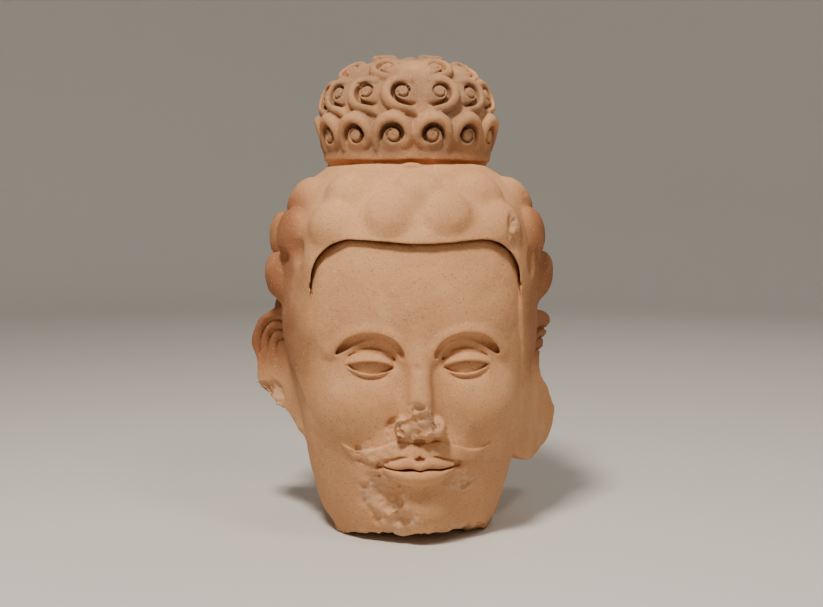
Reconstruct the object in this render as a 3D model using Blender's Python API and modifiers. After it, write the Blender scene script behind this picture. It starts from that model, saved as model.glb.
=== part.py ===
"""Carved stone head with a topknot of curls: one solid."""
from math import cos, pi, radians, sin, tan

import bmesh
import bpy
import numpy as np
from mathutils import Matrix, Vector

# The carved surface is worked out as a field: a signed distance in metres, negative inside the stone.
# The head faces -Y, its middle plane is X = 0 and the height starts at the underside.

# Measures of the face: three equal parts from hairline to chin, five eye widths across.
HAIRLINE = 0.3665
CHIN = 0.022
THIRD = (HAIRLINE - CHIN) / 3
BROW = HAIRLINE - THIRD
NOSE_BASE = BROW - THIRD
MOUTH = NOSE_BASE - THIRD / 3
EYE = 0.055
EYE_LINE = 0.222

# Half width and front depth of the face block, by height.
BLOCK_HEIGHTS = (-0.03, 0.00, 0.03, 0.06, 0.10, 0.14, 0.18, 0.22, 0.26, 0.30, 0.34, 0.38, 0.41, 0.44)
BLOCK_WIDTHS = (0.095, 0.104, 0.115, 0.124, 0.133, 0.1395, 0.144, 0.146, 0.147, 0.146, 0.142, 0.132,
                0.115, 0.080)
BLOCK_DEPTHS = (0.105, 0.115, 0.127, 0.133, 0.136, 0.138, 0.139, 0.141, 0.1445, 0.143, 0.138, 0.127,
                0.110, 0.075)
BLOCK_BACK = 0.10
SQUARE_HEIGHTS = (0.0, 0.08, 0.16, 0.26, 0.44)
SQUARENESS = (2.2, 2.25, 2.4, 2.6, 2.5)
BLOCK_TOP = 0.445

SKULL_CENTRE, SKULL_RADII = (0, 0.030, 0.290), (0.162, 0.156, 0.177)
NECK_CENTRE, NECK_RADII, NECK_TOP = (0, 0.030, 0), (0.094, 0.098, 1.0), 0.20

# Hair: a skin over the skull with rows of round locks. Each row has its height at the front, the side
# and the back, the locks in a full turn, the first one's share of a step, and the angle it starts at.
HAIR_THICK, HAIR_THIN = 0.0088, 0.0044
LOCK_ROWS = (
    (0.402, 0.368, 0.345, 14, 0.5, 0),
    (0.440, 0.420, 0.402, 10, 0.0, 0),
    (0.320, 0.316, 0.290, 14, 0.0, 62),
    (0.270, 0.262, 0.236, 14, 0.5, 95),
    (0.220, 0.212, 0.186, 12, 0.0, 112),
    (0.170, 0.165, 0.142, 10, 0.5, 125),
)
OPENING_HALF, OPENING_CORNER, OPENING_SAG = 0.127, 0.050, 0.0026
CAP_PEAK, CAP_PEAK_RADII = (-0.0035, -0.0790, 0.4560), (0.0120, 0.0070, 0.0048)
OPENING_SPREAD = 0.0075
# Deep hollows under the locks at the temples.
TEMPLE_HOLLOWS = ((-0.1455, -0.0785, 0.3530), (0.1475, -0.0775, 0.3380))
HOLLOW_RADII = (0.0115, 0.0120, 0.0180)
RIM_UNDERCUT = 0.0034
BURN_RADIUS = 0.15
BURN_PATH = ((60.0, 0.330), (60.0, 0.292), (60.0, 0.260), (57.5, 0.232), (53.0, 0.204), (49.6, 0.172))
BURN_WIDTHS = (0.0450, 0.0445, 0.0430, 0.0360, 0.0215, 0.0105)

# Topknot: a rounded block with two rows of fourteen curls, eight worn ones above and three on the crown.
KNOT_CENTRE, KNOT_RADII = (-0.001, 0.035, 0.500), (0.1085, 0.1085, 0.093)
KNOT_PLAN, KNOT_RISE, KNOT_FALL = 2.05, 2.6, 3.4
KNOT_SEAM, SEAM_WIDTH = 0.4595, 0.0038
CURLS_ROUND = 14
VOLUTE_TURN = 5.6
# Kind, curls in a full turn, first angle, height, lean back, scale, angle of the mirror line, radius.
CURL_ROWS = (
    ("arch", CURLS_ROUND, -0.5, 0.4965, 0, 1.0, 0.0, 0.108),
    ("volute", CURLS_ROUND, VOLUTE_TURN, 0.5475, 14, 1.0, VOLUTE_TURN, 0.108),
    ("worn", 8, 0.0, 0.580, 50, 0.90, 0.0, 0.078),
    ("worn", 3, 0.0, 0.594, 78, 0.72, 0.0, 0.032),
)
# Each curl is a dome with a groove wound in to a knob. All in millimetres, in the curl's own plane:
# the dome's middle and radii, the groove's turn in degrees with its radius, half width and depth there,
# the band that runs over the dome, with its half width and lift, and the knob's middle and radius.
CURL_KINDS = {
    "arch": {
        "dome": ((0, -2, -3.5), (23.0, 21.5, 8.5)),
        "turns": (228, 180, 90, 0, -90, -180, -250), "coils": (19.0, 13.2, 11.6, 11.0, 8.4, 6.8, 5.8),
        "widths": (1.0, 2.2, 3.3, 2.6, 1.6, 1.2, 0.8), "depths": (2.0, 7.5, 10.5, 8.5, 4.5, 4.0, 3.0),
        "band": ((-21, -19), (-21, -3), (-14.5, 12), (0, 18.3), (14.5, 12), (20.5, -2), (15, -14),
                 (4, -18)),
        "halves": (4.5, 6.8, 8.2, 8.8, 8.0, 6.8, 5.2, 3.0),
        "lifts": (-2.0, 0.5, 2.5, 3.2, 2.2, 0.5, -1.5, -3.0),
        "knob": ((0, -2.5, 0.2), 4.8),
    },
    "volute": {
        "dome": ((-1.5, -1, -3.0), (22.5, 21.0, 8.5)),
        "turns": (318, 270, 180, 90, 0, -90, -180), "coils": (20.5, 13.8, 11.6, 9.8, 8.6, 6.8, 5.6),
        "widths": (2.4, 2.8, 3.0, 2.1, 1.6, 1.2, 0.8), "depths": (6.0, 7.5, 8.5, 6.5, 4.5, 4.0, 3.0),
        "band": ((19, -28), (8, -22.5), (-6, -19.5), (-16.5, -12), (-20, -1), (-15.5, 11), (-4, 16.8),
                 (8, 15)),
        "halves": (3.4, 5.6, 6.8, 7.4, 7.4, 7.2, 6.8, 5.4),
        "lifts": (-1.0, 0.5, 1.0, 1.5, 2.0, 2.0, 1.5, 0.0),
        "knob": ((0, -1, 1.0), 4.8),
    },
    "worn": {
        "dome": ((-1.5, -1, -4.0), (22.5, 21.0, 9.0)),
        "turns": (318, 270, 180, 90, 0, -90, -180), "coils": (20.5, 13.8, 11.6, 9.8, 8.6, 6.8, 5.6),
        "widths": (2.4, 2.8, 3.0, 2.1, 1.6, 1.2, 0.8), "depths": (3.5, 4.5, 5.0, 4.0, 3.0, 2.5, 2.0),
        "band": ((19, -28), (8, -22.5), (-6, -19.5), (-16.5, -12), (-20, -1), (-15.5, 11), (-4, 16.8),
                 (8, 15)),
        "halves": (3.4, 5.4, 6.6, 7.2, 7.2, 7.0, 6.4, 5.0),
        "lifts": (-2.0, -1.0, 0.0, 0.5, 0.5, 0.5, 0.0, -1.0),
        "knob": ((0, -1, 0.0), 4.6),
    },
}

# Ears: side, lean back in degrees, root. The flutes run round a centre given in the ear's own plane.
EARS = ((-1, 49, (-0.144, 0.004)), (1, 59, (0.144, 0.002)))
EAR_HALF_THICK = 0.0125
EAR_INNER = -0.045
# Outer edge of each ear, from the bottom up: heights and how far it reaches out from the root.
EAR_HEIGHTS = ((0.085, 0.140, 0.160, 0.1865, 0.2035, 0.2155, 0.2245, 0.2355, 0.2490, 0.2600, 0.272),
               (0.078, 0.103, 0.1275, 0.143, 0.1575, 0.1765, 0.191, 0.217, 0.2335, 0.247, 0.259, 0.270))
EAR_REACHES = ((0.0640, 0.0665, 0.0700, 0.0720, 0.0722, 0.0775, 0.0825, 0.0815, 0.0755, 0.0715, 0.058),
               (0.0840, 0.1020, 0.1065, 0.0970, 0.0890, 0.0730, 0.0660, 0.0700, 0.0725, 0.0835, 0.0880, 0.080))
EAR_TOPS = (0.2800, 0.2700)
EAR_LEAN_TOPS = (0.22, 0.06)
FLUTE_CENTRES = ((0.028, 0.222), (0.058, 0.198))
FLUTE_RADII = ((0.0392, 0.0268, 0.0140), (0.0490, 0.0345, 0.0190))
FLUTE_WIDTHS = ((0.0030, 0.0028, 0.0028), (0.0055, 0.0030, 0.0028))
FLUTE_STEP = 0.0036


def profile(value, stations, sizes):
    """Smooth curve through sizes given at stations."""
    stations = np.asarray(stations, float)
    sizes = np.asarray(sizes, float)
    slope = np.gradient(sizes, stations)
    spot = np.clip(value, stations[0], stations[-1])
    i = np.clip(np.searchsorted(stations, spot, side="right") - 1, 0, len(stations) - 2)
    span = stations[i + 1] - stations[i]
    t = (spot - stations[i]) / span
    start = (1 + 2 * t) * (1 - t) ** 2 * sizes[i] + t * (1 - t) ** 2 * span * slope[i]
    end = t * t * (3 - 2 * t) * sizes[i + 1] + t * t * (t - 1) * span * slope[i + 1]
    return start + end


def ease(low, high, value):
    """Soft step from 0 at low to 1 at high."""
    t = np.clip((value - low) / (high - low), 0, 1)
    return t * t * (3 - 2 * t)


def join(a, b, blend):
    """Both solids as one, with a fillet where they meet."""
    share = np.clip(0.5 + 0.5 * (b - a) / blend, 0, 1)
    return b + (a - b) * share - blend * share * (1 - share)


def cut(a, b, blend):
    """The first solid without the second."""
    return -join(-a, b, blend)


def keep(a, b, blend):
    """What both solids share."""
    return -join(-a, -b, blend)


def ellipsoid(points, centre, radii, axes=None):
    q = points - np.asarray(centre)
    if axes is not None:
        q = q @ np.asarray(axes).T
    radii = np.asarray(radii)
    size = np.sqrt(((q / radii) ** 2).sum(1))
    slope = np.sqrt(((q / radii ** 2) ** 2).sum(1))
    return size * (size - 1) / np.maximum(slope, 1e-9)


def rounded_block(points, centre, radii, plan, rise):
    """Block rounded to the power plan in its level outline and to the power rise in its upright one."""
    q = (np.abs(points - np.asarray(centre)) + 1e-7) / np.asarray(radii)
    level = (q[:, 0] ** plan + q[:, 1] ** plan) ** (1 / plan)
    size = (level ** rise + q[:, 2] ** rise) ** (1 / rise)
    share = (level / size) ** (rise - 1)
    slope_x = share * (q[:, 0] / level) ** (plan - 1) / radii[0]
    slope_y = share * (q[:, 1] / level) ** (plan - 1) / radii[1]
    slope_z = (q[:, 2] / size) ** (rise - 1) / radii[2]
    return (size - 1) / np.sqrt(slope_x ** 2 + slope_y ** 2 + slope_z ** 2)


def along(points, path):
    """Distance to a path, and how far along it the nearest place is, from 0 to 1."""
    path = np.asarray(path, float)
    best = np.full(len(points), 1e9)
    place = np.zeros(len(points))
    count = len(path) - 1
    for i in range(count):
        leg = path[i + 1] - path[i]
        t = np.clip((points - path[i]) @ leg / max(leg @ leg, 1e-12), 0, 1)
        gap = ((points - path[i] - t[:, None] * leg) ** 2).sum(1)
        nearer = gap < best
        best = np.where(nearer, gap, best)
        place = np.where(nearer, (i + t) / count, place)
    return np.sqrt(best), place


def curve(points, count):
    """Smooth path through a few points."""
    points = np.asarray(points, float)
    stations = np.linspace(0, 1, len(points))
    t = np.linspace(0, 1, count)
    return np.stack([profile(t, stations, points[:, k]) for k in range(points.shape[1])], 1)


BROW_LINE = curve(
    [(0.0125, BROW - 0.032), (0.0185, BROW - 0.014), (0.034, BROW + 0.002), (0.056, BROW + 0.009),
     (0.078, BROW + 0.005), (0.097, BROW - 0.010), (0.108, BROW - 0.026)], 26)
UPPER_LIP = curve(
    [(0, MOUTH + 0.0055), (0.010, MOUTH + 0.0078), (0.025, MOUTH + 0.0055), (0.044, MOUTH + 0.002)], 10)
LOWER_LIP = curve(
    [(0, MOUTH - 0.0095), (0.016, MOUTH - 0.0088), (0.030, MOUTH - 0.005), (0.042, MOUTH + 0.0002)], 10)
LIP_LINE = curve(
    [(0, MOUTH - 0.0018), (0.010, MOUTH - 0.0002), (0.025, MOUTH - 0.0012), (0.040, MOUTH + 0.001),
     (0.047, MOUTH + 0.0035)], 14)
MOUSTACHE = curve(
    [(0.0065, MOUTH + 0.0215), (0.022, MOUTH + 0.0235), (0.042, MOUTH + 0.0175), (0.062, MOUTH + 0.012),
     (0.078, MOUTH + 0.0145), (0.091, MOUTH + 0.025)], 18)


class Patch:
    """Neighbouring points and the box round them."""

    def __init__(self, points):
        self.points = points
        self.low = points.min(0)
        self.high = points.max(0)

    def near(self, centre, reach):
        if np.any(centre < self.low - reach) or np.any(centre > self.high + reach):
            return np.zeros(0, int)
        return np.nonzero(((self.points - centre) ** 2).sum(1) < reach ** 2)[0]


def face_block(points):
    x, y, z = np.abs(points[:, 0]) + 1e-7, points[:, 1], points[:, 2]
    wide = profile(z, BLOCK_HEIGHTS, BLOCK_WIDTHS)
    deep = np.where(y < 0, profile(z, BLOCK_HEIGHTS, BLOCK_DEPTHS), BLOCK_BACK)
    power = profile(z, SQUARE_HEIGHTS, SQUARENESS)
    u, v = x / wide, (np.abs(y) + 1e-7) / deep
    size = (u ** power + v ** power) ** (1 / power)
    slope_x = (u / size) ** (power - 1) / wide
    slope_y = (v / size) ** (power - 1) / deep
    side = (size - 1) / np.sqrt(slope_x ** 2 + slope_y ** 2)
    return keep(side, z - BLOCK_TOP, 0.02)


def head_mass(points):
    """Face block, skull and neck without any carving."""
    skull = rounded_block(points, SKULL_CENTRE, SKULL_RADII, 2.3, 2.7)
    level = points * np.array([1, 1, 0])
    neck = keep(ellipsoid(level, NECK_CENTRE, NECK_RADII), points[:, 2] - NECK_TOP, 0.02)
    return join(join(face_block(points), skull, 0.020), neck, 0.020)


def flesh(points, plain):
    """Cheeks, muzzle, chin, and the dip under the lower lip."""
    full = join(plain, ellipsoid(points, (0.066, -0.094, 0.172), (0.048, 0.046, 0.046)), 0.030)
    full = join(full, ellipsoid(points, (0, -0.106, 0.098), (0.060, 0.046, 0.048)), 0.024)
    full = join(full, ellipsoid(points, (0, -0.104, 0.044), (0.044, 0.042, 0.034)), 0.020)
    return cut(full, ellipsoid(points, (0, -0.170, 0.0715), (0.040, 0.018, 0.009)), 0.012)


def brow(points, flat, full):
    """Arched brow with a hollow below it for the eye."""
    edge = np.interp(points[:, 0], BROW_LINE[:, 0], BROW_LINE[:, 1])
    socket = ellipsoid(points, (EYE + 0.003, -0.168, EYE_LINE + 0.007), (0.054, 0.043, 0.035))
    shape = cut(full, keep(socket, points[:, 2] - edge, 0.003), 0.007)
    gap, place = along(flat, BROW_LINE[2:-2])
    shape = join(shape, np.sqrt(gap ** 2 + (full + 0.0058) ** 2) - 0.0088, 0.006)
    gap, place = along(flat + np.array([0, 0.0075]), BROW_LINE[3:-3])
    groove = 0.0062 * (1 - np.abs(2 * place - 1) ** 4) + 0.0004
    return cut(shape, np.sqrt(gap ** 2 + (full + 0.001) ** 2) - groove, 0.0025)


def nose(points, shape):
    path = [(0, -0.134, BROW + 0.004), (0, -0.1405, EYE_LINE + 0.008), (0, -0.168, NOSE_BASE + 0.017)]
    ridge, place = along(points, path)
    path = [(0, -0.118, BROW - 0.004), (0, -0.120, EYE_LINE), (0, -0.140, NOSE_BASE + 0.016)]
    flank, lower = along(points, path)
    shape = join(shape, flank - (0.0175 + 0.0065 * lower), 0.012)
    shape = join(shape, ridge - (0.0085 + 0.0060 * place), 0.010)
    tip = ellipsoid(points, (0, -0.169, NOSE_BASE + 0.015), (0.018, 0.0185, 0.015))
    wing = ellipsoid(points, (0.0205, -0.1525, NOSE_BASE + 0.0125), (0.0115, 0.0175, 0.0125))
    nostril = ellipsoid(points, (0.0105, -0.162, NOSE_BASE - 0.0015), (0.0058, 0.010, 0.0075))
    return join(shape, cut(join(tip, wing, 0.005), nostril, 0.002), 0.003)


def eye_opening(points):
    """Almond between two arcs, as a distance seen from the front."""
    inner = np.array([EYE * 0.5 + 0.001, EYE_LINE - 0.005])
    outer = np.array([EYE * 1.5 + 0.003, EYE_LINE - 0.002])
    rise, dip = 0.0075, 0.0085
    half = np.linalg.norm(outer - inner) / 2
    way = (outer - inner) / (2 * half)
    flat = np.stack([points[:, 0], points[:, 2]], 1) - (inner + outer) / 2
    u = flat @ way
    v = flat @ np.array([-way[1], way[0]])
    upper, lower = (half ** 2 + rise ** 2) / (2 * rise), (half ** 2 + dip ** 2) / (2 * dip)
    above = np.sqrt(u ** 2 + (v - rise + upper) ** 2) - upper
    below = np.sqrt(u ** 2 + (v + dip - lower) ** 2) - lower
    return np.maximum(above, below)


def eye(points, shape):
    """Heavy lids over a ball, half closed, with a crease above."""
    lids = ellipsoid(points, (EYE, -0.103, EYE_LINE - 0.001), (0.037, 0.040, 0.0245))
    ball = ellipsoid(points, (EYE, -0.102, EYE_LINE - 0.004), (0.0365, 0.036, 0.0245))
    gap = eye_opening(points)
    shape = join(shape, lids, 0.0015)
    shape = cut(shape, keep(gap, points[:, 1] + 0.112, 0.001), 0.0006)
    shape = np.minimum(shape, ball)
    shape = join(shape, np.sqrt((gap - 0.002) ** 2 + (lids + 0.0002) ** 2) - 0.0023, 0.0015)
    low = np.maximum(0, EYE_LINE + 0.004 - points[:, 2])
    width = 0.0026 * ease(0.034, 0.018, np.abs(points[:, 0] - EYE))
    crease = np.sqrt((gap - 0.0085) ** 2 + low ** 2 + (lids - 0.0008) ** 2) - width
    return cut(shape, crease, 0.0012)


def mouth(points, flat, full, shape):
    gap, place = along(flat, UPPER_LIP)
    shape = join(shape, np.sqrt(gap ** 2 + (full - 0.0005) ** 2) - (0.0080 - 0.0052 * place ** 2), 0.0015)
    gap, place = along(flat, LOWER_LIP)
    shape = join(shape, np.sqrt(gap ** 2 + (full - 0.0002) ** 2) - (0.0108 - 0.0078 * place ** 2), 0.0025)
    gap, place = along(flat, LIP_LINE)
    shape = cut(shape, np.maximum(gap - 0.0013, np.abs(full - 0.004) - 0.0075), 0.0015)
    shape = cut(shape, ellipsoid(points, (0.0485, -0.1425, MOUTH + 0.003), (0.0045, 0.009, 0.0055)), 0.005)
    gap, place = along(flat, [(0, NOSE_BASE - 0.006), (0, MOUTH + 0.015)])
    return cut(shape, np.sqrt(gap ** 2 + (full - 0.0055) ** 2) - 0.0072, 0.003)


def moustache(flat, full, shape):
    """Flat raised band, thinner towards its upturned end."""
    gap, place = along(flat, MOUSTACHE)
    width = 0.0075 * (1 - place ** 3) + 0.0010
    band = keep(gap - width, np.abs(full) - 0.0048 * (1 - 0.5 * place), 0.0025)
    return join(shape, band, 0.0010)


def face(points, plain):
    """One half of the face. The points are folded to +X, since both halves are alike."""
    flat = np.stack([points[:, 0], points[:, 2]], 1)
    full = flesh(points, plain)
    shape = brow(points, flat, full)
    shape = nose(points, shape)
    shape = eye(points, shape)
    shape = mouth(points, flat, full, shape)
    return moustache(flat, full, shape)


def march(field, origin, way):
    """Where the line from origin along way leaves the solid."""
    reach = 0.32
    for _ in range(60):
        reach -= float(field(np.array([origin + way * reach]))[0]) * 0.9
    return origin + way * reach


def slope_at(field, spot):
    step = 1e-4
    slope = [field(np.array([spot + s]))[0] - field(np.array([spot - s]))[0] for s in np.eye(3) * step]
    return np.array(slope) / np.linalg.norm(slope)


def lie_on(field, origin, way, across):
    """Spot on the surface, and its three directions: across, up and out."""
    spot = march(field, origin, way)
    out = slope_at(field, spot)
    across = across - out * (across @ out)
    across = across / np.linalg.norm(across)
    up = np.cross(out, across)
    return spot, across, up if up[2] > 0 else -up, out


def place_locks():
    """Every lock of hair: its spot, its directions, and how shallow it is, from 0 to 1."""
    locks = []
    for front, side, back, count, share, first in LOCK_ROWS:
        for i in range(count):
            angle = ((i + share) * 360 / count + 180) % 360 - 180
            if abs(angle) < first:
                continue
            turn = radians(angle)
            z = side * sin(turn) ** 2 + cos(turn) ** 2 * (front if abs(angle) < 90 else back)
            lean = radians(min(50, max(0, (z - 0.38) * 750)))
            level = np.array([sin(turn), -cos(turn), 0.0])
            way = level * cos(lean) + np.array([0, 0, sin(lean)])
            origin = np.array([0, 0.03, z - 0.14 * tan(lean)])
            across = np.array([cos(turn), sin(turn), 0.0])
            spot, across, up, out = lie_on(lambda p: head_mass(p) - HAIR_THICK, origin, way, across)
            shallow = max(float(ease(70, 45, abs(angle))), float(ease(0.385, 0.415, z)))
            locks.append((spot, across, up, out, shallow))
    return locks


def place_curls():
    """Every curl of the topknot: its kind, spot, directions and scale. The two sides are mirrored."""
    curls = []
    for kind, count, start, height, lean, scale, middle, radius in CURL_ROWS:
        for i in range(count):
            angle = ((i + 0.5) * 360 / count + start + 180) % 360 - 180
            turn, tip = radians(angle), radians(lean)
            level = np.array([sin(turn), -cos(turn), 0.0])
            way = level * cos(tip) + np.array([0, 0, sin(tip)])
            target = np.array([KNOT_CENTRE[0], KNOT_CENTRE[1], height]) + level * radius
            origin = target - way * (radius / cos(tip) if lean < 45 else 0.1)
            across = np.array([cos(turn), sin(turn), 0.0])
            spot, across, up, out = lie_on(knot_block, origin, way, across)
            hand = 1 if (angle - middle + 180) % 360 - 180 < 0 else -1
            curls.append((kind, spot, across * hand, up, out, scale))
    return curls


def knot_block(points):
    rise = np.where(points[:, 2] > KNOT_CENTRE[2], KNOT_RISE, KNOT_FALL)
    return rounded_block(points, KNOT_CENTRE, KNOT_RADII, KNOT_PLAN, rise)


def hair_skin(patch, plain):
    """Hair as a skin over the head, with locks standing out and a hollow below each of the side ones."""
    thick = HAIR_THIN + (HAIR_THICK - HAIR_THIN) * ease(0.290, 0.350, patch.points[:, 2])
    shape = plain - thick
    for spot, across, up, out, shallow in LOCKS:
        near = patch.near(spot, 0.060)
        if not len(near):
            continue
        tilt = radians(20 - 14 * shallow)
        axes = [across, up * cos(tilt) + out * sin(tilt), out * cos(tilt) - up * sin(tilt)]
        radii = (0.029 + 0.002 * shallow, 0.038 - 0.007 * shallow, 0.0215)
        centre = spot - out * (0.0075 + 0.0015 * shallow) - up * 0.004
        lock = ellipsoid(patch.points[near], centre, radii, axes)
        shape[near] = join(shape[near], lock, 0.005 + 0.002 * shallow)
        if shallow < 0.5:
            centre = spot - up * 0.0335 + out * 0.0035
            hollow = ellipsoid(patch.points[near], centre, (0.0125, 0.0110, 0.0085), [across, up, out])
            shape[near] = cut(shape[near], hollow, 0.006)
    return shape


def opening(points):
    """Outline of the bare face seen from the front: negative inside the hairline."""
    z = points[:, 2]
    x = np.abs(points[:, 0]) - OPENING_SPREAD * ease(0.290, 0.175, z)
    sag = OPENING_SAG * np.cos(np.clip(x / 0.09, 0, 1) * pi)
    u = x - OPENING_HALF + OPENING_CORNER
    v = z + sag - HAIRLINE + OPENING_CORNER
    corner = np.sqrt(np.maximum(u, 0) ** 2 + np.maximum(v, 0) ** 2)
    return np.minimum(np.maximum(u, v), 0) + corner - OPENING_CORNER


def sideburn(points):
    """Band in front of the ear, running down to a point. The bare face trims its front edge."""
    turn = np.arctan2(np.abs(points[:, 0]), 0.03 - points[:, 1])
    flat = np.stack([turn * BURN_RADIUS, points[:, 2]], 1)
    path = curve([(radians(angle) * BURN_RADIUS, height) for angle, height in BURN_PATH], 10)
    gap, place = along(flat, path)
    return gap - profile(place, np.linspace(0, 1, len(BURN_WIDTHS)), BURN_WIDTHS)


def hair_cover(points):
    """Where hair lies on the head: negative inside."""
    floor = 0.288 - 0.170 * ease(0.045, 0.085, points[:, 1])
    cover = join(floor - points[:, 2], sideburn(points), 0.006)
    return np.where(points[:, 1] < 0.06, keep(cover, -opening(points), 0.001), cover)


def hair(patch, plain, shape):
    points = patch.points
    high = ease(0.280, 0.318, points[:, 2])
    skin = keep(hair_skin(patch, plain), hair_cover(points), 0.0016 + 0.0050 * (1 - high))
    shape = join(shape, skin, 0.0010 + 0.0030 * (1 - high))
    rim = np.sqrt((opening(points) - 0.0012) ** 2 + (plain - 0.0012) ** 2) - RIM_UNDERCUT * high
    rim = rim + 0.0060 * (1 - high)
    shape = np.where(points[:, 1] < 0.03, cut(shape, rim, 0.0010 + 0.0020 * (1 - high)), shape)
    for side, depth, height in TEMPLE_HOLLOWS:
        near = patch.near(np.array((side, depth, height)), 0.04)
        if len(near):
            hollow = ellipsoid(points[near], (side, depth, height), HOLLOW_RADII)
            shape[near] = cut(shape[near], hollow, 0.005)
    near = patch.near(np.array(CAP_PEAK), 0.03)
    if len(near):
        peak = ellipsoid(points[near], CAP_PEAK, CAP_PEAK_RADII)
        shape[near] = join(shape[near], peak, 0.004)
    return shape


def curl(kind, u, v, w, shape):
    """One curl in its own plane: a dome, the band over it, a groove wound in and a knob in the middle."""
    sizes = CURL_KINDS[kind]
    q = np.stack([u, v, w], 1) * 1000
    flat = q[:, :2]
    middle, radii = sizes["dome"]
    curled = join(shape * 1000, ellipsoid(q, middle, radii), 2.0)
    stations = np.linspace(0, 1, len(sizes["band"]))
    gap, place = along(flat, curve(sizes["band"], 22))
    lift = q[:, 2] - profile(place, stations, sizes["lifts"])
    curled = join(curled, np.sqrt(gap ** 2 + lift ** 2) - profile(place, stations, sizes["halves"]), 1.5)
    knob, radius = sizes["knob"]
    stations = np.linspace(0, 1, len(sizes["turns"]))
    t = np.linspace(0, 1, 34)
    turn, coil = np.radians(profile(t, stations, sizes["turns"])), profile(t, stations, sizes["coils"])
    spiral = np.stack([knob[0] + coil * np.cos(turn), knob[1] + coil * np.sin(turn)], 1)
    gap, place = along(flat, spiral)
    half, depth = profile(place, stations, sizes["widths"]), profile(place, stations, sizes["depths"])
    groove = (np.sqrt((gap / half) ** 2 + ((q[:, 2] - 6) / (depth + 2)) ** 2) - 1) * half
    curled = cut(curled, groove, 1.6)
    return join(curled, ellipsoid(q, knob, (radius, radius, radius)), 0.8) / 1000


def topknot(patch):
    plain = knot_block(patch.points)
    shape = plain.copy()
    for kind, spot, across, up, out, scale in CURLS:
        near = patch.near(spot, 0.040 * scale)
        if len(near):
            q = (patch.points[near] - spot) / scale
            shape[near] = curl(kind, q @ across, q @ up, plain[near], shape[near])
    return shape


def ear_outline(side, u, z):
    """Tall slab with a long lobe. The left lobe is broken off along a slope."""
    row = 0 if side < 0 else 1
    outer = u - profile(z, EAR_HEIGHTS[row], EAR_REACHES[row])
    top = z + EAR_LEAN_TOPS[row] * np.maximum(u - 0.02, 0) - EAR_TOPS[row]
    outline = keep(keep(outer, top, 0.030), EAR_INNER - u, 0.002)
    if side < 0:
        return keep(outline, (u - 0.010) * 0.50 - (z - 0.1315) * 0.87, 0.002)
    bottom = np.sqrt(((u - 0.040) / np.where(u < 0.040, 1.9, 1.35)) ** 2 + (z - 0.122) ** 2) - 0.050
    return keep(outline, np.where(z < 0.122, bottom, -1.0), 0.010)


def ear(patch, side, lean, root):
    """Slab with three flutes round its upper end, each band lower than the one outside it."""
    near = patch.near(np.array([root[0] + side * 0.025, root[1] + 0.03, 0.183]), 0.16)
    if not len(near):
        return near, None
    points = patch.points[near]
    turn = radians(lean)
    q = points - np.array([root[0], root[1], 0.0])
    u = q @ np.array([side * cos(turn), sin(turn), 0.0])
    w = q @ np.array([side * sin(turn), -cos(turn), 0.0])
    z = points[:, 2]
    slab = keep(ear_outline(side, u, z), np.abs(w) - EAR_HALF_THICK, 0.009)
    row = 0 if side < 0 else 1
    centre, radii = FLUTE_CENTRES[row], FLUTE_RADII[row]
    ring = np.sqrt((u - centre[0]) ** 2 + np.maximum(z - centre[1], 0) ** 2)
    clear = ease(centre[1] - 0.034, centre[1] - 0.004, z)
    soft = 0.0008 + 0.010 * (1 - clear)
    front = np.full(len(z), EAR_HALF_THICK)
    for radius in radii:
        front = front - FLUTE_STEP * ease(radius + soft, radius - soft, ring)
    shape = keep(slab, w - front, 0.0012)
    for radius, width in zip(radii, FLUTE_WIDTHS[row]):
        flute = np.sqrt((ring - radius) ** 2 + (w - front) ** 2) - width * clear - 0.0001
        shape = cut(shape, flute, 0.0012)
    return near, shape


def nose_loss(points):
    """What has broken off the nose: all in front of a sloping, uneven plane, near the tip."""
    x, y, up = points[:, 0], points[:, 1], points[:, 2] - NOSE_BASE
    plane = y + 0.1610 + 0.26 * up + 0.25 * x
    plane = plane + 0.0013 * np.sin(310 * x + 140 * up) + 0.0010 * np.sin(420 * up - 150 * x + 1)
    return np.maximum(plane, ellipsoid(points, (-0.002, -0.182, NOSE_BASE + 0.020), (0.036, 0.034, 0.034)))


def breaks(points, shape):
    """The larger losses: the nose's tip, beside the chin, below it, and under the moustache."""
    shape = cut(shape, nose_loss(points), 0.002)
    shape = cut(shape, ellipsoid(points, (-0.045, -0.143, 0.060), (0.026, 0.020, 0.024)), 0.003)
    shape = cut(shape, ellipsoid(points, (-0.028, -0.150, 0.030), (0.020, 0.022, 0.018)), 0.003)
    return cut(shape, ellipsoid(points, (0.056, -0.147, 0.080), (0.020, 0.014, 0.009)), 0.003)


def underside(points):
    """Height of the break below the neck: flat in the middle, chipped up at the front and sides."""
    x, y = points[:, 0], points[:, 1]
    front = 0.012 + 0.013 * ease(0.01, 0.09, x) + 0.006 * ease(-0.06, -0.10, x)
    side = 0.016 * ease(0.092, 0.112, np.abs(x))
    return np.maximum(ease(-0.050, -0.125, y) * front, side)


def form_patch(points):
    patch = Patch(points)
    plain = head_mass(points)
    shape = plain.copy()
    near = np.nonzero((points[:, 1] < -0.05) & (np.abs(plain) < 0.075) & (points[:, 2] < 0.31))[0]
    if len(near):
        folded = points[near].copy()
        folded[:, 0] = np.abs(folded[:, 0])
        shape[near] = face(folded, plain[near])
    if patch.high[2] > 0.10:
        shape = hair(patch, plain, shape)
    if patch.high[2] > 0.38:
        shape = join(shape, topknot(patch), 0.002)
        seam = np.sqrt(knot_block(points) ** 2 + (points[:, 2] - KNOT_SEAM) ** 2) - SEAM_WIDTH
        shape = cut(shape, seam, 0.002)
    for side, lean, root in EARS:
        near, slab = ear(patch, side, lean, root)
        if len(near):
            shape[near] = join(shape[near], slab, 0.003)
    shape = breaks(points, shape)
    shape = keep(shape, underside(points) - points[:, 2], 0.003)
    return keep(shape, -points[:, 2], 0.0015)


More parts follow.
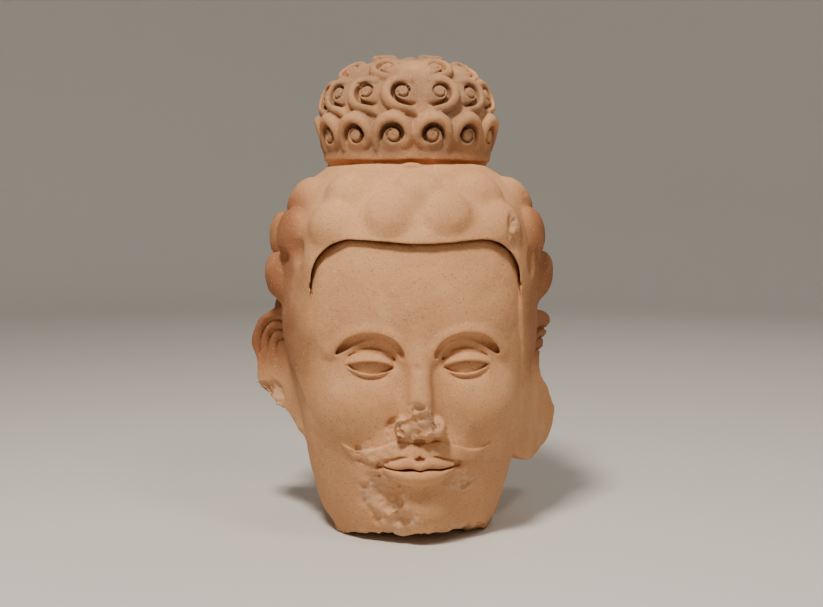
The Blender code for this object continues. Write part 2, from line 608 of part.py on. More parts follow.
def form(points):
    """The field at any points, worked out in small neighbourhoods."""
    cell = np.floor(points / 0.035).astype(int)
    order = np.lexsort((cell[:, 0], cell[:, 1], cell[:, 2]))
    change = np.any(cell[order][1:] != cell[order][:-1], axis=1)
    values = np.empty(len(points))
    for group in np.split(order, np.nonzero(change)[0] + 1):
        values[group] = form_patch(points[group])
    return values


LOCKS = place_locks()
CURLS = place_curls()


NAME = "stone_head"
BAND_THICK = 0.0065
BLANK_VOXEL = 0.0050
CARVE_VOXEL = 0.0029
TRIANGLES = 9800
FLAT_WITHIN = 0.0012
STONE_COLOUR = (0.560, 0.340, 0.215, 1.0)
STONE_ROUGHNESS = 0.9


def clear_scene():
    for item in list(bpy.data.objects):
        bpy.data.objects.remove(item, do_unlink=True)
    for mesh in list(bpy.data.meshes):
        bpy.data.meshes.remove(mesh)


def add_ball(centre, radii, axes=None):
    """A sphere stretched to three radii, turned to three axes."""
    bpy.ops.mesh.primitive_uv_sphere_add(segments=32, ring_count=20, radius=1.0)
    ball = bpy.context.object
    turn = Matrix.Identity(3) if axes is None else Matrix(axes).transposed()
    ball.matrix_world = Matrix.Translation(Vector(centre)) @ turn.to_4x4() @ Matrix.Diagonal((*radii, 1.0))
    return ball


def add_rounded_cube(centre, half_sizes, turn_z=0.0):
    """A cube rounded off by subdivision."""
    bpy.ops.mesh.primitive_cube_add(size=2.0, location=centre, rotation=(0, 0, turn_z))
    cube = bpy.context.object
    cube.scale = half_sizes
    soften = cube.modifiers.new("soften", "SUBSURF")
    soften.levels = 3
    soften.render_levels = 3
    return cube


def add_tube(points, thickness):
    """A round bar along a path."""
    data = bpy.data.curves.new("curl", "CURVE")
    data.dimensions = "3D"
    data.bevel_depth = thickness
    data.bevel_resolution = 3
    data.use_fill_caps = True
    line = data.splines.new("POLY")
    line.points.add(len(points) - 1)
    for spot, point in zip(line.points, points):
        spot.co = (*point, 1.0)
    tube = bpy.data.objects.new("curl", data)
    bpy.context.collection.objects.link(tube)
    return tube


def blank_pieces():
    """Head, topknot, neck, ears, locks and curls as plain rounded pieces that run into one another."""
    pieces = [
        add_ball((0, 0.030, 0.285), (0.172, 0.165, 0.182)),
        add_rounded_cube((0, -0.005, 0.190), (0.165, 0.160, 0.265)),
        add_rounded_cube((0, 0.020, 0.100), (0.110, 0.125, 0.130)),
        add_rounded_cube(KNOT_CENTRE, (0.125, 0.125, 0.112)),
    ]
    for side, lean, root in EARS:
        turn = radians(lean) if side > 0 else pi - radians(lean)
        reach = 0.020
        middle, half = (0.205, 0.080) if side < 0 else (0.183, 0.110)
        spot = (root[0] + side * cos(radians(lean)) * reach, root[1] + sin(radians(lean)) * reach, middle)
        pieces.append(add_rounded_cube(spot, (0.066, 0.020, half), turn))
    for spot, across, up, out, shallow in LOCKS:
        centre = spot - out * 0.010
        pieces.append(add_ball(centre, (0.027, 0.030, 0.017), [list(across), list(up), list(out)]))
    for kind, spot, side, up, out, scale in CURLS:
        points = [spot + (side * u + up * v) * scale / 1000 for u, v in CURL_KINDS[kind]["band"]]
        pieces.append(add_tube([list(point) for point in points], BAND_THICK * scale))
    return pieces


def fuse(pieces, voxel):
    """Voxel remesh of all the pieces together, as one closed mesh."""
    bpy.context.view_layer.update()
    graph = bpy.context.evaluated_depsgraph_get()
    total = bmesh.new()
    for piece in pieces:
        shape = bpy.data.meshes.new_from_object(piece.evaluated_get(graph))
        shape.transform(piece.matrix_world)
        total.from_mesh(shape)
        bpy.data.meshes.remove(shape)
    data = bpy.data.meshes.new(NAME)
    total.to_mesh(data)
    total.free()
    for piece in pieces:
        bpy.data.objects.remove(piece, do_unlink=True)
    solid = bpy.data.objects.new(NAME, data)
    bpy.context.scene.collection.objects.link(solid)
    return remesh(solid, voxel)


def bake_modifiers(solid):
    bpy.context.view_layer.update()
    graph = bpy.context.evaluated_depsgraph_get()
    shape = bpy.data.meshes.new_from_object(solid.evaluated_get(graph))
    old = solid.data
    solid.modifiers.clear()
    solid.data = shape
    bpy.data.meshes.remove(old)
    return solid


def remesh(solid, voxel):
    skin = solid.modifiers.new("skin", "REMESH")
    skin.mode = "VOXEL"
    skin.voxel_size = voxel
    skin.use_smooth_shade = True
    return bake_modifiers(solid)


def read_points(solid):
    flat = np.empty(len(solid.data.vertices) * 3)
    solid.data.vertices.foreach_get("co", flat)
    return flat.reshape(-1, 3)


def read_normals(solid):
    flat = np.empty(len(solid.data.vertices) * 3)
    solid.data.vertex_normals.foreach_get("vector", flat)
    return flat.reshape(-1, 3)


def write_points(solid, points):
    solid.data.vertices.foreach_set("co", points.ravel())
    solid.data.update()


def even_out(solid, points, normals, share):
    """Slide each point along the surface towards the middle of its neighbours."""
    edges = np.empty(len(solid.data.edges) * 2, int)
    solid.data.edges.foreach_get("vertices", edges)
    a, b = edges.reshape(-1, 2).T
    total = np.zeros_like(points)
    count = np.bincount(np.concatenate([a, b]), minlength=len(points))
    for axis in range(3):
        total[:, axis] = np.bincount(a, points[b, axis], len(points))
        total[:, axis] += np.bincount(b, points[a, axis], len(points))
    slide = total / count[:, None] - points
    slide -= normals * (slide * normals).sum(1)[:, None]
    return points + slide * share


def press(solid, limit, share):
    """Move every point towards the carved surface by no more than the limit."""
    points, normals = read_points(solid), read_normals(solid)
    depth = np.clip(form(points), -limit, limit)
    points = points - normals * depth[:, None]
    write_points(solid, points)
    if share:
        write_points(solid, even_out(solid, points, read_normals(solid), share))


def settle(solid, limit):
    """Move every point straight down the slope of the field onto the surface."""
    points = read_points(solid)
    small = 0.0003
    here = form(points)
    slope = np.stack([form(points + step) - here for step in np.eye(3) * small], 1) / small
    size = np.maximum((slope ** 2).sum(1), 0.25)
    move = slope * (here / size)[:, None]
    length = np.sqrt((move ** 2).sum(1))
    move *= (np.minimum(length, limit) / np.maximum(length, 1e-9))[:, None]
    write_points(solid, points - move)


def carve(solid):
    for limit, voxel in ((0.012, 0.0050), (0.010, 0.0042), (0.006, CARVE_VOXEL), (0.004, CARVE_VOXEL)):
        press(solid, limit, 0.5)
        press(solid, limit, 0.5)
        remesh(solid, voxel)
    press(solid, 0.002, 0.4)
    settle(solid, 0.0015)


def thin_out(solid, triangles):
    """Fewer, larger triangles where the surface is plain."""
    solid.modifiers.new("three", "TRIANGULATE")
    fewer = solid.modifiers.new("fewer", "DECIMATE")
    fewer.ratio = triangles / (2 * len(solid.data.polygons))
    fewer.use_collapse_triangulate = True
    return bake_modifiers(solid)


def stand_on_origin(solid):
    """Origin under the middle of the box, on the underside."""
    points = read_points(solid)
    low, high = points.min(0), points.max(0)
    shift = np.array([(low[0] + high[0]) / 2, (low[1] + high[1]) / 2, low[2]])
    points = points - shift
    points[points[:, 2] < FLAT_WITHIN, 2] = 0.0
    write_points(solid, points)
    return shift


def add_stone(solid):
    stone = bpy.data.materials.new("stone")
    stone.use_nodes = True
    shader = stone.node_tree.nodes["Principled BSDF"]
    shader.inputs["Base Color"].default_value = STONE_COLOUR
    shader.inputs["Roughness"].default_value = STONE_ROUGHNESS
    shader.inputs["Metallic"].default_value = 0.0
    solid.data.materials.clear()
    solid.data.materials.append(stone)


def main():
    clear_scene()
    solid = fuse(blank_pieces(), BLANK_VOXEL)
    carve(solid)
    thin_out(solid, TRIANGLES)
    shift = stand_on_origin(solid)
    print("shift", shift, "triangles", len(solid.data.polygons))
    add_stone(solid)
    parts = bpy.data.collections.new("carved_stone_head")
    bpy.context.scene.collection.children.link(parts)
    parts.objects.link(solid)
    bpy.context.scene.collection.objects.unlink(solid)


main()
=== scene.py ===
"""Carved stone head: the solid's form carved at a finer grain, its stone, and a plain floor and light."""

from math import cos, pi, radians, sin, tan

import bmesh
import bpy
import numpy as np
import openvdb as vdb
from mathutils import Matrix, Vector


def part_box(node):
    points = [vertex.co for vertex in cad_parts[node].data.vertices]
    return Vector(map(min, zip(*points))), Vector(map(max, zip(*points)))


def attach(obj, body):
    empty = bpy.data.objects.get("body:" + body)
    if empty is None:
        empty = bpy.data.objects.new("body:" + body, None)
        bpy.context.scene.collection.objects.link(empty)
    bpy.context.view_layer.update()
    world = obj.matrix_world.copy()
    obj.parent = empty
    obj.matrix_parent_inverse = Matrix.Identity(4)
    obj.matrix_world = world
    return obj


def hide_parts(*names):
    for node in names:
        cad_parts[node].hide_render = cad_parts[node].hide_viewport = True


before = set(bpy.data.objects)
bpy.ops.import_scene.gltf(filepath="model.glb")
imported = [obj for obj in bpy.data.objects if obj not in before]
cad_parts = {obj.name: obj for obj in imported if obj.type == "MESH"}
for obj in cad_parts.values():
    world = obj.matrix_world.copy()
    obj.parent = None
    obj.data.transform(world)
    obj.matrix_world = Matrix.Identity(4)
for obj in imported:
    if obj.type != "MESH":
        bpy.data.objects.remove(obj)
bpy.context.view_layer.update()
solid_box = np.array([list(corner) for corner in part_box("stone_head")], float)

# The part stands with the middle of its box on the origin; the carving is worked out in the head's own
# measures, so this is the step between the two.
ORIGIN = np.array([0.00026, 0.01922, 0.00038])

# The carved surface is worked out as a field: a signed distance in metres, negative inside the stone.
# The head faces -Y, its middle plane is X = 0 and the height starts at the underside.

# Measures of the face: three equal parts from hairline to chin, five eye widths across.
HAIRLINE = 0.3665
CHIN = 0.022
THIRD = (HAIRLINE - CHIN) / 3
BROW = HAIRLINE - THIRD
NOSE_BASE = BROW - THIRD
MOUTH = NOSE_BASE - THIRD / 3
EYE = 0.055
EYE_LINE = 0.222

# Half width and front depth of the face block, by height.
BLOCK_HEIGHTS = (-0.03, 0.00, 0.03, 0.06, 0.10, 0.14, 0.18, 0.22, 0.26, 0.30, 0.34, 0.38, 0.41, 0.44)
BLOCK_WIDTHS = (0.095, 0.104, 0.115, 0.124, 0.133, 0.1395, 0.144, 0.146, 0.147, 0.146, 0.142, 0.132,
                0.115, 0.080)
BLOCK_DEPTHS = (0.105, 0.115, 0.127, 0.133, 0.136, 0.138, 0.139, 0.141, 0.1445, 0.143, 0.138, 0.127,
                0.110, 0.075)
BLOCK_BACK = 0.10
SQUARE_HEIGHTS = (0.0, 0.08, 0.16, 0.26, 0.44)
SQUARENESS = (2.2, 2.25, 2.4, 2.6, 2.5)
BLOCK_TOP = 0.445

SKULL_CENTRE, SKULL_RADII = (0, 0.030, 0.290), (0.162, 0.156, 0.177)
NECK_CENTRE, NECK_RADII, NECK_TOP = (0, 0.030, 0), (0.094, 0.098, 1.0), 0.20

# Hair: a skin over the skull with rows of round locks. Each row has its height at the front, the side
# and the back, the locks in a full turn, the first one's share of a step, and the angle it starts at.
HAIR_THICK, HAIR_THIN = 0.0088, 0.0044
LOCK_ROWS = (
    (0.402, 0.368, 0.345, 14, 0.5, 0),
    (0.440, 0.420, 0.402, 10, 0.0, 0),
    (0.320, 0.316, 0.290, 14, 0.0, 62),
    (0.270, 0.262, 0.236, 14, 0.5, 95),
    (0.220, 0.212, 0.186, 12, 0.0, 112),
    (0.170, 0.165, 0.142, 10, 0.5, 125),
)
# The hairline: half its width, its corners' radius, its sag, and how far it spreads lower down.
OPENING_HALF, OPENING_CORNER, OPENING_SAG = 0.127, 0.050, 0.0026
OPENING_SPREAD = 0.0075
# A low rise of the cap's upper edge, in front of the topknot.
CAP_PEAK, CAP_PEAK_RADII = (-0.0035, -0.0790, 0.4560), (0.0120, 0.0070, 0.0048)
# Deep hollows under the locks at the temples.
TEMPLE_HOLLOWS = ((-0.1455, -0.0785, 0.3530), (0.1475, -0.0775, 0.3380))
HOLLOW_RADII = (0.0115, 0.0120, 0.0180)
RIM_UNDERCUT = 0.0034
# Sideburns: the radius they are unrolled at, a path of degrees round the head and heights, half widths.
BURN_RADIUS = 0.15
BURN_PATH = ((60.0, 0.330), (60.0, 0.292), (60.0, 0.260), (57.5, 0.232), (53.0, 0.204), (49.6, 0.172))
BURN_WIDTHS = (0.0450, 0.0445, 0.0430, 0.0360, 0.0215, 0.0105)

# Topknot: a rounded block with two rows of fourteen curls, eight worn ones above and three on the crown.
KNOT_CENTRE, KNOT_RADII = (-0.001, 0.035, 0.500), (0.1085, 0.1085, 0.093)
KNOT_PLAN, KNOT_RISE, KNOT_FALL = 2.05, 2.6, 3.4
KNOT_SEAM, SEAM_WIDTH = 0.4595, 0.0038
CURLS_ROUND = 14
VOLUTE_TURN = 5.6
# Kind, curls in a full turn, first angle, height, lean back, scale, angle of the mirror line, radius.
CURL_ROWS = (
    ("arch", CURLS_ROUND, -0.5, 0.4965, 0, 1.0, 0.0, 0.108),
    ("volute", CURLS_ROUND, VOLUTE_TURN, 0.5475, 14, 1.0, VOLUTE_TURN, 0.108),
    ("worn", 8, 0.0, 0.580, 50, 0.90, 0.0, 0.078),
    ("worn", 3, 0.0, 0.594, 78, 0.72, 0.0, 0.032),
)
# Each curl is a dome with a groove wound in to a knob. All in millimetres, in the curl's own plane:
# the dome's middle and radii, the groove's turn in degrees with its radius, half width and depth there,
# the band that runs over the dome, with its half width and lift, and the knob's middle and radius.
CURL_KINDS = {
    "arch": {
        "dome": ((0, -2, -3.5), (23.0, 21.5, 8.5)),
        "turns": (228, 180, 90, 0, -90, -180, -250), "coils": (19.0, 13.2, 11.6, 11.0, 8.4, 6.8, 5.8),
        "widths": (1.0, 2.2, 3.3, 2.6, 1.6, 1.2, 0.8), "depths": (2.0, 7.5, 10.5, 8.5, 4.5, 4.0, 3.0),
        "band": ((-21, -19), (-21, -3), (-14.5, 12), (0, 18.3), (14.5, 12), (20.5, -2), (15, -14),
                 (4, -18)),
        "halves": (4.5, 6.8, 8.2, 8.8, 8.0, 6.8, 5.2, 3.0),
        "lifts": (-2.0, 0.5, 2.5, 3.2, 2.2, 0.5, -1.5, -3.0),
        "knob": ((0, -2.5, 0.2), 4.8),
    },
    "volute": {
        "dome": ((-1.5, -1, -3.0), (22.5, 21.0, 8.5)),
        "turns": (318, 270, 180, 90, 0, -90, -180), "coils": (20.5, 13.8, 11.6, 9.8, 8.6, 6.8, 5.6),
        "widths": (2.4, 2.8, 3.0, 2.1, 1.6, 1.2, 0.8), "depths": (6.0, 7.5, 8.5, 6.5, 4.5, 4.0, 3.0),
        "band": ((19, -28), (8, -22.5), (-6, -19.5), (-16.5, -12), (-20, -1), (-15.5, 11), (-4, 16.8),
                 (8, 15)),
        "halves": (3.4, 5.6, 6.8, 7.4, 7.4, 7.2, 6.8, 5.4),
        "lifts": (-1.0, 0.5, 1.0, 1.5, 2.0, 2.0, 1.5, 0.0),
        "knob": ((0, -1, 1.0), 4.8),
    },
}
# The worn curls are volutes gone flat.
CURL_KINDS["worn"] = {
    **CURL_KINDS["volute"],
    "dome": ((-1.5, -1, -4.0), (22.5, 21.0, 9.0)),
    "depths": (3.5, 4.5, 5.0, 4.0, 3.0, 2.5, 2.0),
    "halves": (3.4, 5.4, 6.6, 7.2, 7.2, 7.0, 6.4, 5.0),
    "lifts": (-2.0, -1.0, 0.0, 0.5, 0.5, 0.5, 0.0, -1.0),
    "knob": ((0, -1, 0.0), 4.6),
}

# Ears: side, lean back in degrees, root. The flutes run round a centre given in the ear's own plane.
EARS = ((-1, 49, (-0.144, 0.004)), (1, 59, (0.144, 0.002)))
EAR_HALF_THICK = 0.0125
EAR_INNER = -0.045
# Outer edge of each ear, from the bottom up: heights and how far it reaches out from the root.
EAR_HEIGHTS = ((0.085, 0.140, 0.160, 0.1865, 0.2035, 0.2155, 0.2245, 0.2355, 0.2490, 0.2600, 0.272),
               (0.078, 0.103, 0.1275, 0.143, 0.1575, 0.1765, 0.191, 0.217, 0.2335, 0.247, 0.259, 0.270))
EAR_REACHES = ((0.0640, 0.0665, 0.0700, 0.0720, 0.0722, 0.0775, 0.0825, 0.0815, 0.0755, 0.0715, 0.058),
               (0.0840, 0.1020, 0.1065, 0.0970, 0.0890, 0.0730, 0.0660, 0.0700, 0.0725, 0.0835, 0.0880,
                0.080))
EAR_TOPS = (0.2800, 0.2700)
EAR_LEAN_TOPS = (0.22, 0.06)
FLUTE_CENTRES = ((0.028, 0.222), (0.058, 0.198))
FLUTE_RADII = ((0.0392, 0.0268, 0.0140), (0.0490, 0.0345, 0.0190))
FLUTE_WIDTHS = ((0.0030, 0.0028, 0.0028), (0.0055, 0.0030, 0.0028))
FLUTE_STEP = 0.0036


def profile(value, stations, sizes):
    """Smooth curve through sizes given at stations."""
    stations = np.asarray(stations, float)
    sizes = np.asarray(sizes, float)
    slope = np.gradient(sizes, stations)
    spot = np.clip(value, stations[0], stations[-1])
    i = np.clip(np.searchsorted(stations, spot, side="right") - 1, 0, len(stations) - 2)
    span = stations[i + 1] - stations[i]
    t = (spot - stations[i]) / span
    start = (1 + 2 * t) * (1 - t) ** 2 * sizes[i] + t * (1 - t) ** 2 * span * slope[i]
    end = t * t * (3 - 2 * t) * sizes[i + 1] + t * t * (t - 1) * span * slope[i + 1]
    return start + end


def ease(low, high, value):
    """Soft step from 0 at low to 1 at high."""
    t = np.clip((value - low) / (high - low), 0, 1)
    return t * t * (3 - 2 * t)


def span(a, b):
    return np.sqrt(a ** 2 + b ** 2)


def length(rows):
    return np.sqrt((rows ** 2).sum(1))


def join(a, b, blend):
    """Both solids as one, with a fillet where they meet."""
    share = np.clip(0.5 + 0.5 * (b - a) / blend, 0, 1)
    return b + (a - b) * share - blend * share * (1 - share)


def cut(a, b, blend):
    """The first solid without the second."""
    return -join(-a, b, blend)


def keep(a, b, blend):
    """What both solids share."""
    return -join(-a, -b, blend)


def ellipsoid(points, centre, radii, axes=None):
    q = points - np.asarray(centre)
    if axes is not None:
        q = q @ np.asarray(axes).T
    radii = np.asarray(radii)
    size = length(q / radii)
    slope = length(q / radii ** 2)
    return size * (size - 1) / np.maximum(slope, 1e-9)


def rounded_block(points, centre, radii, plan, rise):
    """Block rounded to the power plan in its level outline and to the power rise in its upright one."""
    q = (np.abs(points - np.asarray(centre)) + 1e-7) / np.asarray(radii)
    level = (q[:, 0] ** plan + q[:, 1] ** plan) ** (1 / plan)
    size = (level ** rise + q[:, 2] ** rise) ** (1 / rise)
    share = (level / size) ** (rise - 1)
    slope_x = share * (q[:, 0] / level) ** (plan - 1) / radii[0]
    slope_y = share * (q[:, 1] / level) ** (plan - 1) / radii[1]
    slope_z = (q[:, 2] / size) ** (rise - 1) / radii[2]
    return (size - 1) / np.sqrt(slope_x ** 2 + slope_y ** 2 + slope_z ** 2)


def along(points, path):
    """Distance to a path, and how far along it the nearest place is, from 0 to 1."""
    path = np.asarray(path, float)
    best = np.full(len(points), 1e9)
    place = np.zeros(len(points))
    count = len(path) - 1
    for i in range(count):
        leg = path[i + 1] - path[i]
        t = np.clip((points - path[i]) @ leg / max(leg @ leg, 1e-12), 0, 1)
        gap = ((points - path[i] - t[:, None] * leg) ** 2).sum(1)
        nearer = gap < best
        best = np.where(nearer, gap, best)
        place = np.where(nearer, (i + t) / count, place)
    return np.sqrt(best), place


def curve(points, count):
    """Smooth path through a few points."""
    points = np.asarray(points, float)
    stations = np.linspace(0, 1, len(points))
    t = np.linspace(0, 1, count)
    return np.stack([profile(t, stations, points[:, k]) for k in range(points.shape[1])], 1)


BROW_LINE = curve(
    [(0.0125, BROW - 0.032), (0.0185, BROW - 0.014), (0.034, BROW + 0.002), (0.056, BROW + 0.009),
     (0.078, BROW + 0.005), (0.097, BROW - 0.010), (0.108, BROW - 0.026)], 26)
UPPER_LIP = curve(
    [(0, MOUTH + 0.0055), (0.010, MOUTH + 0.0078), (0.025, MOUTH + 0.0055), (0.044, MOUTH + 0.002)], 10)
LOWER_LIP = curve(
    [(0, MOUTH - 0.0095), (0.016, MOUTH - 0.0088), (0.030, MOUTH - 0.005), (0.042, MOUTH + 0.0002)], 10)
LIP_LINE = curve(
    [(0, MOUTH - 0.0018), (0.010, MOUTH - 0.0002), (0.025, MOUTH - 0.0012), (0.040, MOUTH + 0.001),
     (0.047, MOUTH + 0.0035)], 14)
MOUSTACHE = curve(
    [(0.0065, MOUTH + 0.0215), (0.022, MOUTH + 0.0235), (0.042, MOUTH + 0.0175), (0.062, MOUTH + 0.012),
     (0.078, MOUTH + 0.0145), (0.091, MOUTH + 0.025)], 18)


class Patch:
    """Neighbouring points and the box round them."""

    def __init__(self, points):
        self.points = points
        self.low = points.min(0)
        self.high = points.max(0)

    def near(self, centre, reach):
        if np.any(centre < self.low - reach) or np.any(centre > self.high + reach):
            return np.zeros(0, int)
        return np.nonzero(((self.points - centre) ** 2).sum(1) < reach ** 2)[0]


def face_block(points):
    x, y, z = np.abs(points[:, 0]) + 1e-7, points[:, 1], points[:, 2]
    wide = profile(z, BLOCK_HEIGHTS, BLOCK_WIDTHS)
    deep = np.where(y < 0, profile(z, BLOCK_HEIGHTS, BLOCK_DEPTHS), BLOCK_BACK)
    power = profile(z, SQUARE_HEIGHTS, SQUARENESS)
    u, v = x / wide, (np.abs(y) + 1e-7) / deep
    size = (u ** power + v ** power) ** (1 / power)
    slope_x = (u / size) ** (power - 1) / wide
    slope_y = (v / size) ** (power - 1) / deep
    side = (size - 1) / span(slope_x, slope_y)
    return keep(side, z - BLOCK_TOP, 0.02)


def head_mass(points):
    """Face block, skull and neck without any carving."""
    skull = rounded_block(points, SKULL_CENTRE, SKULL_RADII, 2.3, 2.7)
    level = points * np.array([1, 1, 0])
    neck = keep(ellipsoid(level, NECK_CENTRE, NECK_RADII), points[:, 2] - NECK_TOP, 0.02)
    return join(join(face_block(points), skull, 0.020), neck, 0.020)


def flesh(points, plain):
    """Cheeks, muzzle, chin, and the dip under the lower lip."""
    full = join(plain, ellipsoid(points, (0.066, -0.094, 0.172), (0.048, 0.046, 0.046)), 0.030)
    full = join(full, ellipsoid(points, (0, -0.106, 0.098), (0.060, 0.046, 0.048)), 0.024)
    full = join(full, ellipsoid(points, (0, -0.104, 0.044), (0.044, 0.042, 0.034)), 0.020)
    return cut(full, ellipsoid(points, (0, -0.170, 0.0715), (0.040, 0.018, 0.009)), 0.012)


def brow(points, flat, full):
    """Arched brow with a hollow below it for the eye."""
    edge = np.interp(points[:, 0], BROW_LINE[:, 0], BROW_LINE[:, 1])
    socket = ellipsoid(points, (EYE + 0.003, -0.168, EYE_LINE + 0.007), (0.054, 0.043, 0.035))
    shape = cut(full, keep(socket, points[:, 2] - edge, 0.003), 0.007)
    gap, place = along(flat, BROW_LINE[2:-2])
    shape = join(shape, span(gap, full + 0.0058) - 0.0088, 0.006)
    gap, place = along(flat + np.array([0, 0.0075]), BROW_LINE[3:-3])
    groove = 0.0062 * (1 - np.abs(2 * place - 1) ** 4) + 0.0004
    return cut(shape, span(gap, full + 0.001) - groove, 0.0025)


def nose(points, shape):
    path = [(0, -0.134, BROW + 0.004), (0, -0.1405, EYE_LINE + 0.008), (0, -0.168, NOSE_BASE + 0.017)]
    ridge, place = along(points, path)
    path = [(0, -0.118, BROW - 0.004), (0, -0.120, EYE_LINE), (0, -0.140, NOSE_BASE + 0.016)]
    flank, lower = along(points, path)
    shape = join(shape, flank - (0.0175 + 0.0065 * lower), 0.012)
    shape = join(shape, ridge - (0.0085 + 0.0060 * place), 0.010)
    tip = ellipsoid(points, (0, -0.169, NOSE_BASE + 0.015), (0.018, 0.0185, 0.015))
    wing = ellipsoid(points, (0.0205, -0.1525, NOSE_BASE + 0.0125), (0.0115, 0.0175, 0.0125))
    nostril = ellipsoid(points, (0.0105, -0.162, NOSE_BASE - 0.0015), (0.0058, 0.010, 0.0075))
    return join(shape, cut(join(tip, wing, 0.005), nostril, 0.002), 0.003)


def eye_opening(points):
    """Almond between two arcs, as a distance seen from the front."""
    inner = np.array([EYE * 0.5 + 0.001, EYE_LINE - 0.005])
    outer = np.array([EYE * 1.5 + 0.003, EYE_LINE - 0.002])
    rise, dip = 0.0075, 0.0085
    half = np.linalg.norm(outer - inner) / 2
    way = (outer - inner) / (2 * half)
    flat = np.stack([points[:, 0], points[:, 2]], 1) - (inner + outer) / 2
    u = flat @ way
    v = flat @ np.array([-way[1], way[0]])
    upper, lower = (half ** 2 + rise ** 2) / (2 * rise), (half ** 2 + dip ** 2) / (2 * dip)
    above = span(u, v - rise + upper) - upper
    below = span(u, v + dip - lower) - lower
    return np.maximum(above, below)


def eye(points, shape):
    """Heavy lids over a ball, half closed, with a crease above."""
    lids = ellipsoid(points, (EYE, -0.103, EYE_LINE - 0.001), (0.037, 0.040, 0.0245))
    ball = ellipsoid(points, (EYE, -0.102, EYE_LINE - 0.004), (0.0365, 0.036, 0.0245))
    gap = eye_opening(points)
    shape = join(shape, lids, 0.0015)
    shape = cut(shape, keep(gap, points[:, 1] + 0.112, 0.001), 0.0006)
    shape = np.minimum(shape, ball)
    shape = join(shape, span(gap - 0.002, lids + 0.0002) - 0.0023, 0.0015)
    low = np.maximum(0, EYE_LINE + 0.004 - points[:, 2])
    width = 0.0026 * ease(0.034, 0.018, np.abs(points[:, 0] - EYE))
    crease = np.sqrt((gap - 0.0085) ** 2 + low ** 2 + (lids - 0.0008) ** 2) - width
    return cut(shape, crease, 0.0012)


def mouth(points, flat, full, shape):
    gap, place = along(flat, UPPER_LIP)
    shape = join(shape, span(gap, full - 0.0005) - (0.0080 - 0.0052 * place ** 2), 0.0015)
    gap, place = along(flat, LOWER_LIP)
    shape = join(shape, span(gap, full - 0.0002) - (0.0108 - 0.0078 * place ** 2), 0.0025)
    gap, place = along(flat, LIP_LINE)
    shape = cut(shape, np.maximum(gap - 0.0013, np.abs(full - 0.004) - 0.0075), 0.0015)
    shape = cut(shape, ellipsoid(points, (0.0485, -0.1425, MOUTH + 0.003), (0.0045, 0.009, 0.0055)), 0.005)
    gap, place = along(flat, [(0, NOSE_BASE - 0.006), (0, MOUTH + 0.015)])
    return cut(shape, span(gap, full - 0.0055) - 0.0072, 0.003)


def moustache(flat, full, shape):
    """Flat raised band, thinner towards its upturned end."""
    gap, place = along(flat, MOUSTACHE)
    width = 0.0075 * (1 - place ** 3) + 0.0010
    band = keep(gap - width, np.abs(full) - 0.0048 * (1 - 0.5 * place), 0.0025)
    return join(shape, band, 0.0010)


def face(points, plain):
    """One half of the face. The points are folded to +X, since both halves are alike."""
    flat = np.stack([points[:, 0], points[:, 2]], 1)
    full = flesh(points, plain)
    shape = brow(points, flat, full)
    shape = nose(points, shape)
    shape = eye(points, shape)
    shape = mouth(points, flat, full, shape)
    return moustache(flat, full, shape)


def march(field, origin, way):
    """Where the line from origin along way leaves the solid."""
    reach = 0.32
    for _ in range(60):
        reach -= float(field(np.array([origin + way * reach]))[0]) * 0.9
    return origin + way * reach


def slope_at(field, spot):
    step = 1e-4
    slope = [field(np.array([spot + s]))[0] - field(np.array([spot - s]))[0] for s in np.eye(3) * step]
    return np.array(slope) / np.linalg.norm(slope)


def lie_on(field, origin, way, across):
    """Spot on the surface, and its three directions: across, up and out."""
    spot = march(field, origin, way)
    out = slope_at(field, spot)
    across = across - out * (across @ out)
    across = across / np.linalg.norm(across)
    up = np.cross(out, across)
    return spot, across, up if up[2] > 0 else -up, out


def facing(turn, lean):
    """Directions at an angle round the head: level outwards, outwards leaned up, and across."""
    level = np.array([sin(turn), -cos(turn), 0.0])
    return level, level * cos(lean) + np.array([0, 0, sin(lean)]), np.array([cos(turn), sin(turn), 0.0])


def place_locks():
    """Every lock of hair: its spot, its directions, and how shallow it is, from 0 to 1."""
    locks = []
    for front, side, back, count, share, first in LOCK_ROWS:
        for i in range(count):
            angle = ((i + share) * 360 / count + 180) % 360 - 180
            if abs(angle) < first:
                continue
            turn = radians(angle)
            z = side * sin(turn) ** 2 + cos(turn) ** 2 * (front if abs(angle) < 90 else back)
            lean = radians(min(50, max(0, (z - 0.38) * 750)))
            way, across = facing(turn, lean)[1:]
            origin = np.array([0, 0.03, z - 0.14 * tan(lean)])
            spot, across, up, out = lie_on(lambda p: head_mass(p) - HAIR_THICK, origin, way, across)
            shallow = max(float(ease(70, 45, abs(angle))), float(ease(0.385, 0.415, z)))
            locks.append((spot, across, up, out, shallow))
    return locks


def place_curls():
    """Every curl of the topknot: its kind, spot, directions and scale. The two sides are mirrored."""
    curls = []
    for kind, count, start, height, lean, scale, middle, radius in CURL_ROWS:
        for i in range(count):
            angle = ((i + 0.5) * 360 / count + start + 180) % 360 - 180
            level, way, across = facing(radians(angle), radians(lean))
            target = np.array([KNOT_CENTRE[0], KNOT_CENTRE[1], height]) + level * radius
            origin = target - way * (radius / cos(radians(lean)) if lean < 45 else 0.1)
            spot, across, up, out = lie_on(knot_block, origin, way, across)
            hand = 1 if (angle - middle + 180) % 360 - 180 < 0 else -1
            curls.append((kind, spot, across * hand, up, out, scale))
    return curls


def knot_block(points):
    rise = np.where(points[:, 2] > KNOT_CENTRE[2], KNOT_RISE, KNOT_FALL)
    return rounded_block(points, KNOT_CENTRE, KNOT_RADII, KNOT_PLAN, rise)


